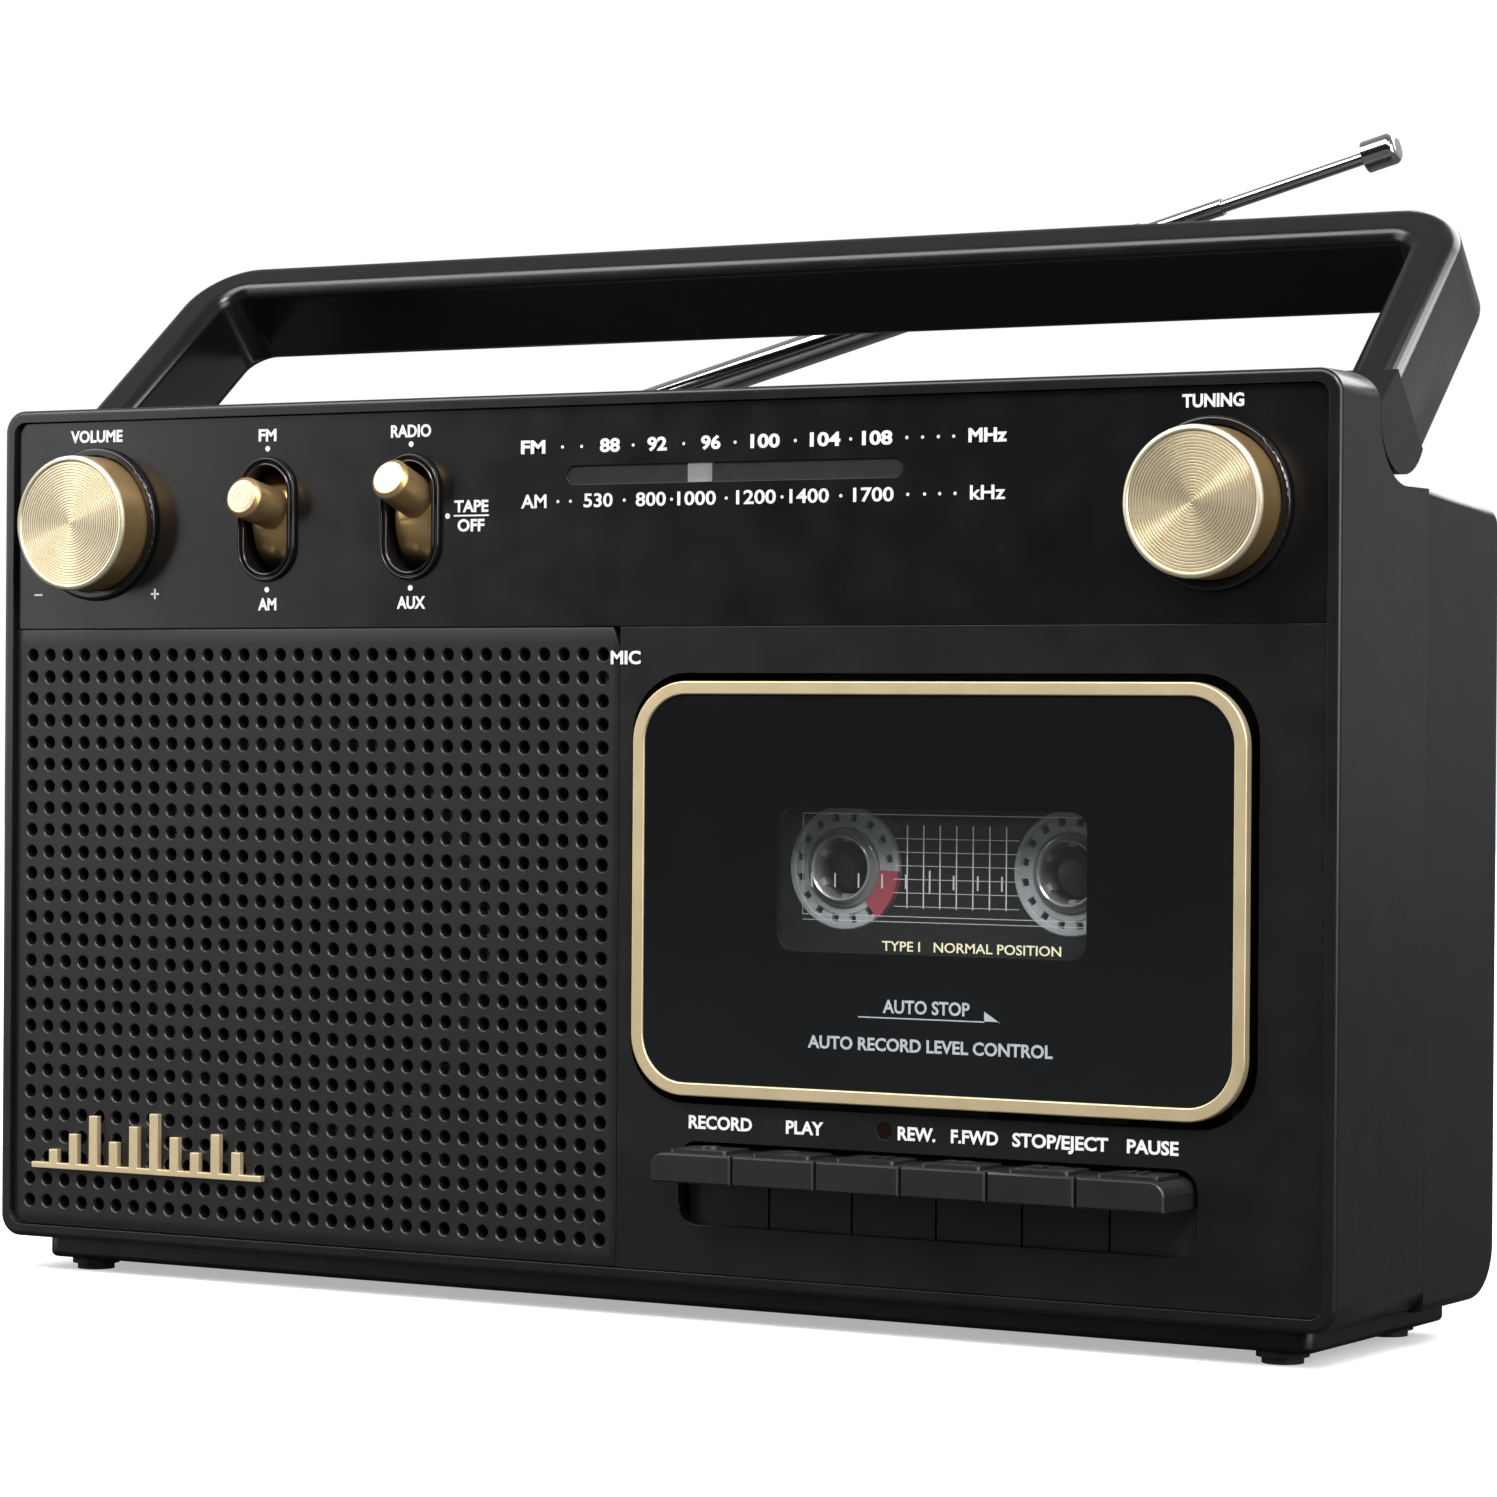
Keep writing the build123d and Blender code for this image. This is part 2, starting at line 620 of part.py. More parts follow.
# ---------------------------------------------------------------- electronics
with BuildPart() as circuit_board:
    with BuildSketch(facing(BOARD_BACK)):
        with Locations((0, 126.0)):
            Rectangle(240.0, 20.0)
    extrude(amount=BOARD_BACK - BOARD_FRONT)
    # switch frames, each with the pin that a lever turns on
    for x in (BAND_X, FUNCTION_X):
        with BuildSketch(facing(BOARD_FRONT)):
            with Locations((x, 135.5)):
                Rectangle(14.0, 7.0)
        extrude(amount=1.2)
        for cheek in (x - 6.8, x + 5.2):
            with BuildSketch(side(cheek)):
                with Locations(((9.0 + BOARD_FRONT) / 2, 136.0)):
                    Rectangle(BOARD_FRONT - 9.0, 6.0)
            extrude(amount=1.6)
        with BuildSketch(side(x - 6.8)):
            with Locations((LEVER_PIVOT, LEVER_Z)):
                Circle(1.0)
        extrude(amount=13.6)
    # coils, capacitors and an integrated circuit on the back
    for x, z, radius, height in (
        (-100.0, 123.0, 5.0, 9.0),
        (-86.0, 122.0, 3.2, 7.0),
        (-30.0, 123.0, 4.0, 8.0),
        (40.0, 123.0, 4.0, 8.0),
        (76.0, 124.0, 6.0, 10.0),
        (96.0, 121.0, 3.2, 7.0),
    ):
        with BuildSketch(facing(BOARD_BACK + height)):
            with Locations((x, z)):
                Circle(radius)
        extrude(amount=height)
    with BuildSketch(facing(BOARD_BACK + 3.0)):
        with Locations((5.0, 122.0)):
            Rectangle(22.0, 8.0)
    extrude(amount=3.0)
    # tuning capacitor with the bearing for the tuning shaft
    with BuildSketch(facing(BOARD_FRONT)):
        with Locations((TUNING_X, KNOB_Z - 2.0)):
            Rectangle(18.0, 16.0)
    extrude(amount=5.4)
    with BuildSketch(facing(BOARD_FRONT - 2.4)):
        with Locations((TUNING_X, KNOB_Z)):
            Circle(3.05)
    extrude(amount=4.0, mode=Mode.SUBTRACT)
save(circuit_board, "circuit_board")

with BuildPart() as ferrite_aerial:
    with BuildSketch(side(FERRITE_X - FERRITE_L / 2)):
        with Locations(FERRITE):
            Circle(4.5)
    extrude(amount=FERRITE_L)
    with BuildSketch(side(FERRITE_X - 26.0)):
        with Locations(FERRITE):
            Circle(5.8)
    extrude(amount=26.0)
save(ferrite_aerial, "ferrite_aerial")

SPEAKER_X, SPEAKER_Z = SPEAKER
SPEAKER_FRONT = PANEL_BACK


def round_speaker(profile):
    """Turns a profile, given as radius and depth, round the speaker's own axis."""
    plane = Plane(origin=(SPEAKER_X, LIP_Y, SPEAKER_Z), x_dir=(1, 0, 0), z_dir=(0, 0, 1))
    with BuildSketch(plane) as section:
        Polygon(*profile, align=None)
    revolve(section.sketch, axis=Axis((SPEAKER_X, LIP_Y, SPEAKER_Z), (0, 1, 0)))


with BuildPart() as speaker_frame:
    round_speaker(
        [
            (34.0, SPEAKER_FRONT),
            (38.5, SPEAKER_FRONT),
            (38.5, SPEAKER_FRONT + 1.5),
            (35.8, SPEAKER_FRONT + 1.5),
            (20.0, 22.5),
            (20.0, 24.0),
            (9.5, 24.0),
            (9.5, 22.7),
            (18.8, 22.7),
            (34.0, SPEAKER_FRONT + 2.2),
        ]
    )
    with BuildSketch(facing(35.0)):
        with Locations(SPEAKER):
            Circle(21.0)
    extrude(amount=11.2)
    fillet(speaker_frame.faces().sort_by(Axis.Y)[-1].edges(), 0.8)
save(speaker_frame, "speaker_frame")

with BuildPart() as speaker_cone:
    round_speaker(
        [
            (33.6, 4.2),
            (33.6, 4.8),
            (30.5, 4.8),
            (9.0, 18.0),
            (0.0, 16.2),
            (0.0, 15.7),
            (8.8, 17.3),
            (30.2, 4.2),
        ]
    )
save(speaker_cone, "speaker_cone")

with BuildPart() as microphone:
    with BuildSketch(facing(9.0)):
        with Locations((-3.4, 108.9)):
            Circle(3.0)
    extrude(amount=9.0 - PANEL_BACK)
save(microphone, "microphone")

with BuildPart() as record_lamp:
    with BuildSketch(facing(8.0)):
        with Locations(LAMP):
            Circle(1.4)
    extrude(amount=6.8)
    with BuildSketch(facing(PANEL_BACK + 1.0)):
        with Locations(LAMP):
            Circle(2.1)
    extrude(amount=1.0)
save(record_lamp, "record_lamp")

# ---------------------------------------------------------------- power and sockets
BAY_FRONT = 37.0

with BuildPart() as battery_compartment:
    with BuildSketch(facing(BACK_INSIDE)):
        with Locations((BAY_X, BAY_Z)):
            Rectangle(BAY_W + 3.0, BAY_H + 3.0)
    extrude(amount=BACK_INSIDE - BAY_FRONT + 1.5)
    with BuildSketch(facing(BACK_INSIDE)):
        with Locations((BAY_X, BAY_Z)):
            Rectangle(BAY_W + 10.0, BAY_H + 9.6)
    extrude(amount=1.5)
    with BuildSketch(facing(BACK_INSIDE)):
        with Locations((BAY_X, BAY_Z)):
            Rectangle(BAY_W, BAY_H)
    extrude(amount=BACK_INSIDE - BAY_FRONT, mode=Mode.SUBTRACT)
save(battery_compartment, "battery_compartment")

CONTACT_ROWS = (BAY_Z - 14.0, BAY_Z + 14.0)

with BuildPart() as battery_contacts:
    for row in CONTACT_ROWS:
        for x, direction in ((BAY_X - BAY_W / 2, 1), (BAY_X + BAY_W / 2, -1)):
            with BuildSketch(side(x)):
                with Locations((50.0, row)):
                    Rectangle(16.0, 16.0)
            extrude(amount=0.5 * direction)
        with BuildSketch(side(BAY_X - BAY_W / 2 + 0.5)):
            with Locations((50.0, row)):
                Circle(5.5)
                Circle(4.5, mode=Mode.SUBTRACT)
        extrude(amount=1.2)
        with BuildSketch(side(BAY_X + BAY_W / 2 - 0.5)):
            with Locations((50.0, row)):
                Circle(3.0)
        extrude(amount=-0.8)
save(battery_contacts, "battery_contacts")

with BuildPart() as battery_lid:
    with BuildSketch(facing(REAR)):
        with Locations((BAY_X, BAY_Z)):
            Rectangle(*LID_SIZE)
    extrude(amount=2.1)
    low_edges = battery_lid.edges().filter_by(Axis.X).sort_by(Axis.Z)[:2]
    fillet(low_edges, 1.0)
    for offset in range(-3, 4):
        with BuildSketch(facing(REAR)):
            with Locations((BAY_X + 3.0 * offset, BAY_Z + 22.0)):
                SlotOverall(9.0, 1.4, rotation=90)
        extrude(amount=0.7, mode=Mode.SUBTRACT)
    for x in (BAY_X - LID_SIZE[0] / 2 - 1.5, BAY_X + LID_SIZE[0] / 2 - 0.1):
        with BuildSketch(side(x)):
            with Locations(LID_HINGE):
                Circle(LID_PIN_R)
        extrude(amount=1.6)
save(battery_lid, "battery_lid")

with BuildPart() as mains_transformer:
    with BuildSketch(facing(55.0)):
        with Locations((78.0, PANEL_BASE + 14.0)):
            Rectangle(34.0, 28.0)
    extrude(amount=18.0)
    with BuildSketch(facing(57.0)):
        with Locations((78.0, PANEL_BASE + 15.0)):
            RectangleRounded(23.0, 19.0, 3.0)
    extrude(amount=22.0)
save(mains_transformer, "mains_transformer")

with BuildPart() as mains_inlet:
    with BuildSketch(facing(REAR)):
        with Locations(INLET):
            Rectangle(16.8, 11.8)
    extrude(amount=15.0)
    with BuildSketch(facing(REAR)):
        with Locations(INLET):
            SlotOverall(13.4, 7.6)
    extrude(amount=12.0, mode=Mode.SUBTRACT)
    with BuildSketch(facing(REAR - 12.0)):
        with Locations((INLET[0] - 3.4, INLET[1]), (INLET[0] + 3.4, INLET[1])):
            Circle(1.15)
    extrude(amount=-9.0)
save(mains_inlet, "mains_inlet")

JACK_BORE_R = 1.78
JACK_DEPTH = 14.0

with BuildPart() as signal_jacks:
    with BuildSketch(facing(REAR - 0.2)):
        with Locations(*JACKS):
            Circle(3.9)
    extrude(amount=4.0)
    with BuildSketch(facing(REAR - 3.2)):
        with Locations(*JACKS):
            Rectangle(9.0, 9.0)
    extrude(amount=JACK_DEPTH)
    with BuildSketch(facing(REAR)):
        with Locations(*JACKS):
            Circle(JACK_BORE_R)
    extrude(amount=JACK_DEPTH, mode=Mode.SUBTRACT)
save(signal_jacks, "signal_jacks")

# ---------------------------------------------------------------- carrying handle
LEAN = 50.0                          # the handle leans back by this from upright
BAND_DEPTH = 16.6
ARM_LENGTH = 50.4                    # hinge line to the outside of the grip
GRIP_THICK = 8.6
LEG_THICK = 9.0
LEG_OUT = 133.1
LEG_IN_AT_GRIP = 1.9                 # how far each leg leans inward by the grip

HANDLE_PLANE = Plane(
    origin=(0, LIP_Y + PIVOT_D, PIVOT_Z),
    x_dir=(1, 0, 0),
    z_dir=(0, -cos(radians(LEAN)), sin(radians(LEAN))),
)
FOOT_R = 9.2
BAND_SHIFT = 0.9                     # the band sits this far behind the hinge line


def leg_edge(height, inset=0.0):
    """Half width of the handle at a height along its arms, less an inset."""
    return LEG_OUT - LEG_IN_AT_GRIP * max(height, 0.0) / ARM_LENGTH - inset


def along_arm(edge):
    """Distance of an edge's middle from the hinge line, measured along the arms."""
    return HANDLE_PLANE.to_local_coords(edge.center()).Y


GRIP_UNDER = ARM_LENGTH - GRIP_THICK

with BuildPart() as handle:
    with BuildSketch(HANDLE_PLANE.offset(-BAND_DEPTH / 2 - BAND_SHIFT)):
        with BuildLine():
            Polyline(
                (-leg_edge(0), 0),
                (-leg_edge(ARM_LENGTH), ARM_LENGTH),
                (leg_edge(ARM_LENGTH), ARM_LENGTH),
                (leg_edge(0), 0),
                (leg_edge(0, LEG_THICK), 0),
                (leg_edge(GRIP_UNDER, LEG_THICK), GRIP_UNDER),
                (-leg_edge(GRIP_UNDER, LEG_THICK), GRIP_UNDER),
                (-leg_edge(0, LEG_THICK), 0),
                (-leg_edge(0), 0),
            )
        make_face()
    extrude(amount=BAND_DEPTH)
    across = handle.edges().filter_by(Axis(HANDLE_PLANE.origin, HANDLE_PLANE.z_dir)).sort_by(along_arm)
    fillet(across[-2:], 13.0)
    across = handle.edges().filter_by(Axis(HANDLE_PLANE.origin, HANDLE_PLANE.z_dir))
    fillet([edge for edge in across if abs(along_arm(edge) - GRIP_UNDER) < 0.1], 4.5)
    grip_face = handle.faces().filter_by(Axis(HANDLE_PLANE.origin, HANDLE_PLANE.z_dir))
    for face, radius in ((grip_face.sort_by(Axis.Y)[0], 2.5), (grip_face.sort_by(Axis.Y)[-1], 1.5)):
        fillet([edge for edge in face.edges() if along_arm(edge) > 0.1], radius)
    # round feet about the hinge line
    for x in (-LEG_OUT, LEG_OUT - LEG_THICK):
        foot_plane = Plane(
            origin=(x, LIP_Y + PIVOT_D, PIVOT_Z),
            x_dir=(0, cos(radians(LEAN)), -sin(radians(LEAN))),
            z_dir=(1, 0, 0),
        )
        with BuildSketch(foot_plane):
            Circle(FOOT_R)
            with Locations((BAND_SHIFT, 0)):
                Rectangle(BAND_DEPTH, 3 * FOOT_R, mode=Mode.INTERSECT)
            with Locations((0, FOOT_R + 3.0)):
                Rectangle(3 * FOOT_R, 2 * FOOT_R, mode=Mode.SUBTRACT)
        extrude(amount=LEG_THICK)
    for x, reach in ((-LEG_OUT + LEG_THICK + 1.0, -9.0), (LEG_OUT - LEG_THICK - 1.0, 9.0)):
        with BuildSketch(side(x)):
            with Locations(HANDLE_PIVOT):
                Circle(2.05)
        extrude(amount=reach, mode=Mode.SUBTRACT)
save(handle, "handle")

with BuildPart() as handle_pins:
    for x, reach in ((-112.0, -19.0), (112.0, 19.0)):
        with BuildSketch(side(x)):
            with Locations(HANDLE_PIVOT):
                Circle(2.0)
        extrude(amount=reach)
save(handle_pins, "handle_pins")

# ---------------------------------------------------------------- cassette door
INNER_DOOR = (DOOR_SIZE[0] - 2 * TRIM_WIDTH, DOOR_SIZE[1] - 2 * TRIM_WIDTH)
INNER_CORNER = DOOR_CORNER - TRIM_WIDTH
ARM_THICK = 2.6
ARM_LEFT = 8.0
ARM_RIGHT = 111.6
HOLDER_BACK = 17.0
SHELF_W = 15.0
SHELF_THICK = 1.2
SHELF_FRONT = 8.4
DOOR_PLATE_FACE = -0.7
WINDOW_X, WINDOW_Z, WINDOW_W, WINDOW_H = WINDOW

with BuildPart() as door_trim:
    with BuildSketch(facing(DOOR_BACK)):
        with Locations((DOOR_X, DOOR_Z)):
            RectangleRounded(*DOOR_SIZE, DOOR_CORNER)
            RectangleRounded(*INNER_DOOR, INNER_CORNER, mode=Mode.SUBTRACT)
    extrude(amount=DOOR_BACK - DOOR_FACE)
save(door_trim, "door_trim")

with BuildPart() as cassette_holder:
    with BuildSketch(facing(DOOR_BACK)):
        with Locations((DOOR_X, DOOR_Z)):
            RectangleRounded(*INNER_DOOR, INNER_CORNER)
        with Locations((WINDOW_X, WINDOW_Z)):
            RectangleRounded(WINDOW_W, WINDOW_H, 3.0, mode=Mode.SUBTRACT)
    extrude(amount=DOOR_BACK - DOOR_PLATE_FACE)
    # side walls that reach down to the hinge pins
    for x in (ARM_LEFT, ARM_RIGHT):
        with BuildSketch(side(x)):
            with BuildLine():
                Polyline(
                    (DOOR_BACK, 102.0),
                    (DOOR_BACK, 50.5),
                    (8.8, 41.6),
                    (9.0, 28.3),
                    (15.0, 28.3),
                    (HOLDER_BACK, 40.0),
                    (HOLDER_BACK, 102.0),
                    (DOOR_BACK, 102.0),
                )
            make_face()
            with Locations(DOOR_PIVOT):
                Circle(1.55, mode=Mode.SUBTRACT)
        extrude(amount=ARM_THICK)
    # shelves under the cassette's ends
    for x in (ARM_LEFT, ARM_RIGHT + ARM_THICK - SHELF_W):
        with BuildSketch(side(x)):
            with Locations(((SHELF_FRONT + HOLDER_BACK) / 2, CASSETTE_BASE - SHELF_THICK / 2)):
                Rectangle(HOLDER_BACK - SHELF_FRONT, SHELF_THICK)
        extrude(amount=SHELF_W)
    # lips that keep the cassette from falling back, and pads that keep it off the door
    with BuildSketch(facing(HOLDER_BACK)):
        for x in (ARM_LEFT + ARM_THICK + 0.9, ARM_RIGHT - 0.9):
            with Locations((x, 52.0), (x, 93.0)):
                Rectangle(2.0, 14.0)
    extrude(amount=HOLDER_BACK - CASSETTE_BACK - 0.1)
    with BuildSketch(facing(CASSETTE_FRONT)):
        for x in (ARM_LEFT + ARM_THICK + 1.9, ARM_RIGHT - 1.9):
            with Locations((x, 74.0)):
                Rectangle(4.0, 40.0)
    extrude(amount=CASSETTE_FRONT - DOOR_BACK)
save(cassette_holder, "cassette_holder")

with BuildPart() as door_lens:
    with BuildSketch(facing(DOOR_BACK)):
        with Locations((WINDOW_X, WINDOW_Z)):
            RectangleRounded(WINDOW_W, WINDOW_H, 3.0)
    extrude(amount=DOOR_BACK - DOOR_PLATE_FACE)
save(door_lens, "door_lens")

CASSETTE_MID = CASSETTE_BASE + CASSETTE[1] / 2
CASSETTE_WALL = 1.1
THICK_FRONT = 5.3
THICK_BACK = 17.2
NOTCH_H = 8.0
HUB_XS = (DOOR_X - HUB_PITCH / 2, DOOR_X + HUB_PITCH / 2)
SHELL_HOLE_R = 6.0

with BuildPart() as cassette_shell:
    with BuildSketch(facing(CASSETTE_BACK)):
        with Locations((DOOR_X, CASSETTE_MID)):
            RectangleRounded(*CASSETTE, 1.5)
    extrude(amount=CASSETTE_BACK - CASSETTE_FRONT)
    with BuildSketch(facing(CASSETTE_BACK - CASSETTE_WALL)):
        with Locations((DOOR_X, CASSETTE_MID + NOTCH_H / 2)):
            Rectangle(
                CASSETTE[0] - 2 * CASSETTE_WALL,
                CASSETTE[1] - NOTCH_H - 2 * CASSETTE_WALL - 3.0,
            )
    extrude(amount=CASSETTE_BACK - CASSETTE_FRONT - 2 * CASSETTE_WALL, mode=Mode.SUBTRACT)
    # thicker band along the tape opening
    with BuildSketch(facing(THICK_BACK)):
        with BuildLine():
            Polyline(
                (DOOR_X - 35.0, CASSETTE_BASE),
                (DOOR_X + 35.0, CASSETTE_BASE),
                (DOOR_X + 32.0, CASSETTE_BASE + 15.0),
                (DOOR_X - 32.0, CASSETTE_BASE + 15.0),
                (DOOR_X - 35.0, CASSETTE_BASE),
            )
        make_face()
    extrude(amount=THICK_BACK - CASSETTE_BACK)
    with BuildSketch(facing(CASSETTE_FRONT)):
        with BuildLine():
            Polyline(
                (DOOR_X - 35.0, CASSETTE_BASE),
                (DOOR_X + 35.0, CASSETTE_BASE),
                (DOOR_X + 32.0, CASSETTE_BASE + 15.0),
                (DOOR_X - 32.0, CASSETTE_BASE + 15.0),
                (DOOR_X - 35.0, CASSETTE_BASE),
            )
        make_face()
    extrude(amount=CASSETTE_FRONT - THICK_FRONT)
    with BuildSketch(facing(THICK_BACK)):
        with Locations(*[(x, HUB_Z) for x in HUB_XS]):
            Circle(SHELL_HOLE_R)
        with Locations((DOOR_X, CASSETTE_BASE + NOTCH_H / 2)):
            Rectangle(18.0, NOTCH_H)
        for x in (CAPSTAN[0], 2 * DOOR_X - CAPSTAN[0]):
            with Locations((x, CASSETTE_BASE + NOTCH_H / 2)):
                Rectangle(11.6, NOTCH_H)
            with Locations((x, CAPSTAN[1])):
                Circle(3.1)
    extrude(amount=THICK_BACK - THICK_FRONT, mode=Mode.SUBTRACT)
save(cassette_shell, "cassette_shell")

HUB_BORE_R = 5.0
TOOTH_TIP_R = 4.35

for name, x in zip(("left", "right"), HUB_XS):
    with BuildPart() as cassette_hub:
        with BuildSketch(facing(13.9)):
            with Locations((x, HUB_Z)):
                Circle(10.4)
        extrude(amount=5.3)
        with BuildSketch(facing(15.3)):
            with Locations((x, HUB_Z)):
                Circle(5.65)
        extrude(amount=8.1)
        with BuildSketch(facing(15.3)):
            with Locations((x, HUB_Z)):
                Circle(HUB_BORE_R)
        extrude(amount=8.1, mode=Mode.SUBTRACT)
        with BuildSketch(facing(12.5)):
            with Locations((x, HUB_Z)):
                with PolarLocations((HUB_BORE_R + TOOTH_TIP_R) / 2 + 0.1, 6):
                    Rectangle(HUB_BORE_R - TOOTH_TIP_R + 0.2, 1.3)
        extrude(amount=3.0)
    save(cassette_hub, f"cassette_hub_{name}")

# ---------------------------------------------------------------- tape deck
DECK_LEFT = 8.5
DECK_RIGHT = 113.5
CHASSIS_BASE = 27.0
CHASSIS_TOP = 114.9
SHAFT_D, SHAFT_Z = KEY_SHAFT
CAPSTAN_X, CAPSTAN_Z = CAPSTAN
MOTOR_X, MOTOR_Z = MOTOR
GUIDE_PINS = ((36.0, 36.5), (74.0, 36.5))
LIFT = 5.0                           # travel of the head carriage

with BuildPart() as deck_chassis:
    with BuildSketch(facing(CHASSIS_BACK)):
        with BuildLine():
            Polyline(
                (DECK_LEFT, 10.5),
                (DECK_LEFT + 3.8, 10.5),
                (DECK_LEFT + 3.8, CHASSIS_BASE),
                (DECK_RIGHT - 3.8, CHASSIS_BASE),
                (DECK_RIGHT - 3.8, 10.5),
                (DECK_RIGHT, 10.5),
                (DECK_RIGHT, CHASSIS_TOP),
                (DECK_LEFT, CHASSIS_TOP),
                (DECK_LEFT, 10.5),
            )
        make_face()
        with Locations(*[(x, HUB_Z) for x in HUB_XS]):
            Circle(4.25, mode=Mode.SUBTRACT)
    extrude(amount=CHASSIS_BACK - CHASSIS_FRONT)
    # bearing for the capstan
    with BuildSketch(facing(CHASSIS_BACK + 1.6)):
        with Locations(CAPSTAN):
            Circle(3.0)
    extrude(amount=2.0)
    with BuildSketch(facing(CHASSIS_BACK + 1.6)):
        with Locations(CAPSTAN):
            Circle(1.05)
    extrude(amount=4.0, mode=Mode.SUBTRACT)
    # cheeks for the key shaft
    for x in (DECK_LEFT + 1.0, DECK_RIGHT - 3.0):
        with BuildSketch(side(x)):
            with Locations((CHASSIS_FRONT + 4.9, 30.5)):
                Rectangle(9.8, 27.0)
            with Locations(KEY_SHAFT):
                Circle(1.5, mode=Mode.SUBTRACT)
        extrude(amount=2.0)
    # posts up to the fascia
    with BuildSketch(facing(CHASSIS_FRONT + 0.2)):
        with Locations((20.0, 112.4), (102.0, 112.4)):
            Circle(1.9)
        with Locations((DECK_LEFT + 1.8, 12.9), (DECK_RIGHT - 1.8, 12.9)):
            Circle(1.8)
    extrude(amount=CHASSIS_FRONT + 0.2 - PANEL_BACK)
    # guide pins for the head carriage
    with BuildSketch(facing(CHASSIS_FRONT + 0.2)):
        with Locations(*GUIDE_PINS):
            Circle(1.1)
    extrude(amount=1.8)
save(deck_chassis, "deck_chassis")

with BuildPart() as key_shaft:
    with BuildSketch(side(DECK_LEFT + 0.6)):
        with Locations(KEY_SHAFT):
            Circle(1.5)
    extrude(amount=DECK_RIGHT - DECK_LEFT - 1.2)
save(key_shaft, "key_shaft")

for name, x in zip(("left", "right"), HUB_XS):
    with BuildPart() as reel_spindle:
        spindle_plane = Plane(origin=(x, LIP_Y, HUB_Z), x_dir=(1, 0, 0), z_dir=(0, 0, 1))
        with BuildSketch(spindle_plane):
            with BuildLine():
                Polyline(
                    (0, 22.0),
                    (9.0, 22.0),
                    (9.0, CHASSIS_BACK + 0.2),
                    (3.9, CHASSIS_BACK + 0.2),
                    (3.9, 11.5),
                    (2.2, 8.5),
                    (0.6, 8.2),
                    (0, 8.2),
                    (0, 22.0),
                )
            make_face()
        revolve(axis=Axis((x, LIP_Y, HUB_Z), (0, 1, 0)))
    save(reel_spindle, f"reel_spindle_{name}")

FLYWHEEL_R = 17.0
PULLEY_R = 4.4
GROOVE_DEPTH = 1.2
BELT_FRONT = 24.0
BELT_BACK = 25.2

with BuildPart() as capstan_flywheel:
    with BuildSketch(facing(30.0)):
        with Locations(CAPSTAN):
            Circle(FLYWHEEL_R)
    extrude(amount=8.0)
    with BuildSketch(facing(BELT_BACK + 0.3)):
        with Locations(CAPSTAN):
            Circle(FLYWHEEL_R + 1)
            Circle(FLYWHEEL_R - GROOVE_DEPTH, mode=Mode.SUBTRACT)
    extrude(amount=BELT_BACK - BELT_FRONT + 0.6, mode=Mode.SUBTRACT)
    with BuildSketch(facing(30.0)):
        with Locations(CAPSTAN):
            Circle(1.0)
    extrude(amount=21.0)
save(capstan_flywheel, "capstan_flywheel")

with BuildPart() as motor_pulley:
    with BuildSketch(facing(26.5)):
        with Locations(MOTOR):
            Circle(PULLEY_R)
    extrude(amount=4.2)
    with BuildSketch(facing(BELT_BACK + 0.3)):
        with Locations(MOTOR):
            Circle(PULLEY_R + 1)
            Circle(PULLEY_R - GROOVE_DEPTH, mode=Mode.SUBTRACT)
    extrude(amount=BELT_BACK - BELT_FRONT + 0.6, mode=Mode.SUBTRACT)
    with BuildSketch(facing(34.0)):
        with Locations(MOTOR):
            Circle(1.0)
    extrude(amount=9.0)
save(motor_pulley, "motor_pulley")

with BuildPart() as drive_belt:
    with BuildSketch(facing(BELT_BACK)):
        with Locations(CAPSTAN):
            Circle(FLYWHEEL_R - GROOVE_DEPTH + 1.2)
        with Locations(MOTOR):
            Circle(PULLEY_R - GROOVE_DEPTH + 1.2)
        make_hull()
    extrude(amount=BELT_BACK - BELT_FRONT)
    with BuildSketch(facing(BELT_BACK)):
        with Locations(CAPSTAN):
            Circle(FLYWHEEL_R - GROOVE_DEPTH + 0.3)
        with Locations(MOTOR):
            Circle(PULLEY_R - GROOVE_DEPTH + 0.3)
        make_hull()
    extrude(amount=BELT_BACK - BELT_FRONT, mode=Mode.SUBTRACT)
save(drive_belt, "drive_belt")

with BuildPart() as deck_motor:
    with BuildSketch(facing(50.0)):
        with Locations(MOTOR):
            Circle(15.0)
    extrude(amount=23.0)
    with BuildSketch(facing(28.4)):
        with Locations(MOTOR):
            Circle(20.5)
    extrude(amount=1.4)
    with BuildSketch(facing(28.0)):
        with Locations(MOTOR):
            with PolarLocations(18.0, 3, start_angle=100.0, angular_range=160.0, endpoint=True):
                Circle(2.0)
    extrude(amount=28.0 - CHASSIS_BACK)
    with BuildSketch(facing(36.0)):
        with Locations(MOTOR):
            Circle(1.05)
    extrude(amount=10.0, mode=Mode.SUBTRACT)
save(deck_motor, "deck_motor")

ROLLER_R = 4.4
ROLLER_Z = CAPSTAN_Z - 1.0 - ROLLER_R - LIFT - 0.3

with BuildPart() as head_carriage:
    with BuildSketch(facing(18.4)):
        with Locations((61.0, 35.0)):
            Rectangle(84.0, 10.0)
        for x, z in GUIDE_PINS:
            with Locations((x, z - LIFT / 2)):
                SlotOverall(LIFT + 2.6, 2.5, rotation=90, mode=Mode.SUBTRACT)
    extrude(amount=1.0)
    # record and playback head, erase head and pressure roller
    with BuildSketch(facing(17.5)):
        with Locations((DOOR_X, 36.6)):
            Rectangle(12.6, 8.4)
    extrude(amount=8.6)
    with BuildSketch(facing(17.5)):
        with Locations((CAPSTAN_X, ROLLER_Z)):
            Circle(ROLLER_R)
    extrude(amount=8.0)
save(head_carriage, "head_carriage")

ARM_W = 5.0
PAD_TOP = KEY_TOP + 0.6
ICON_MID = -3.6                      # depth of the middle of the key symbols


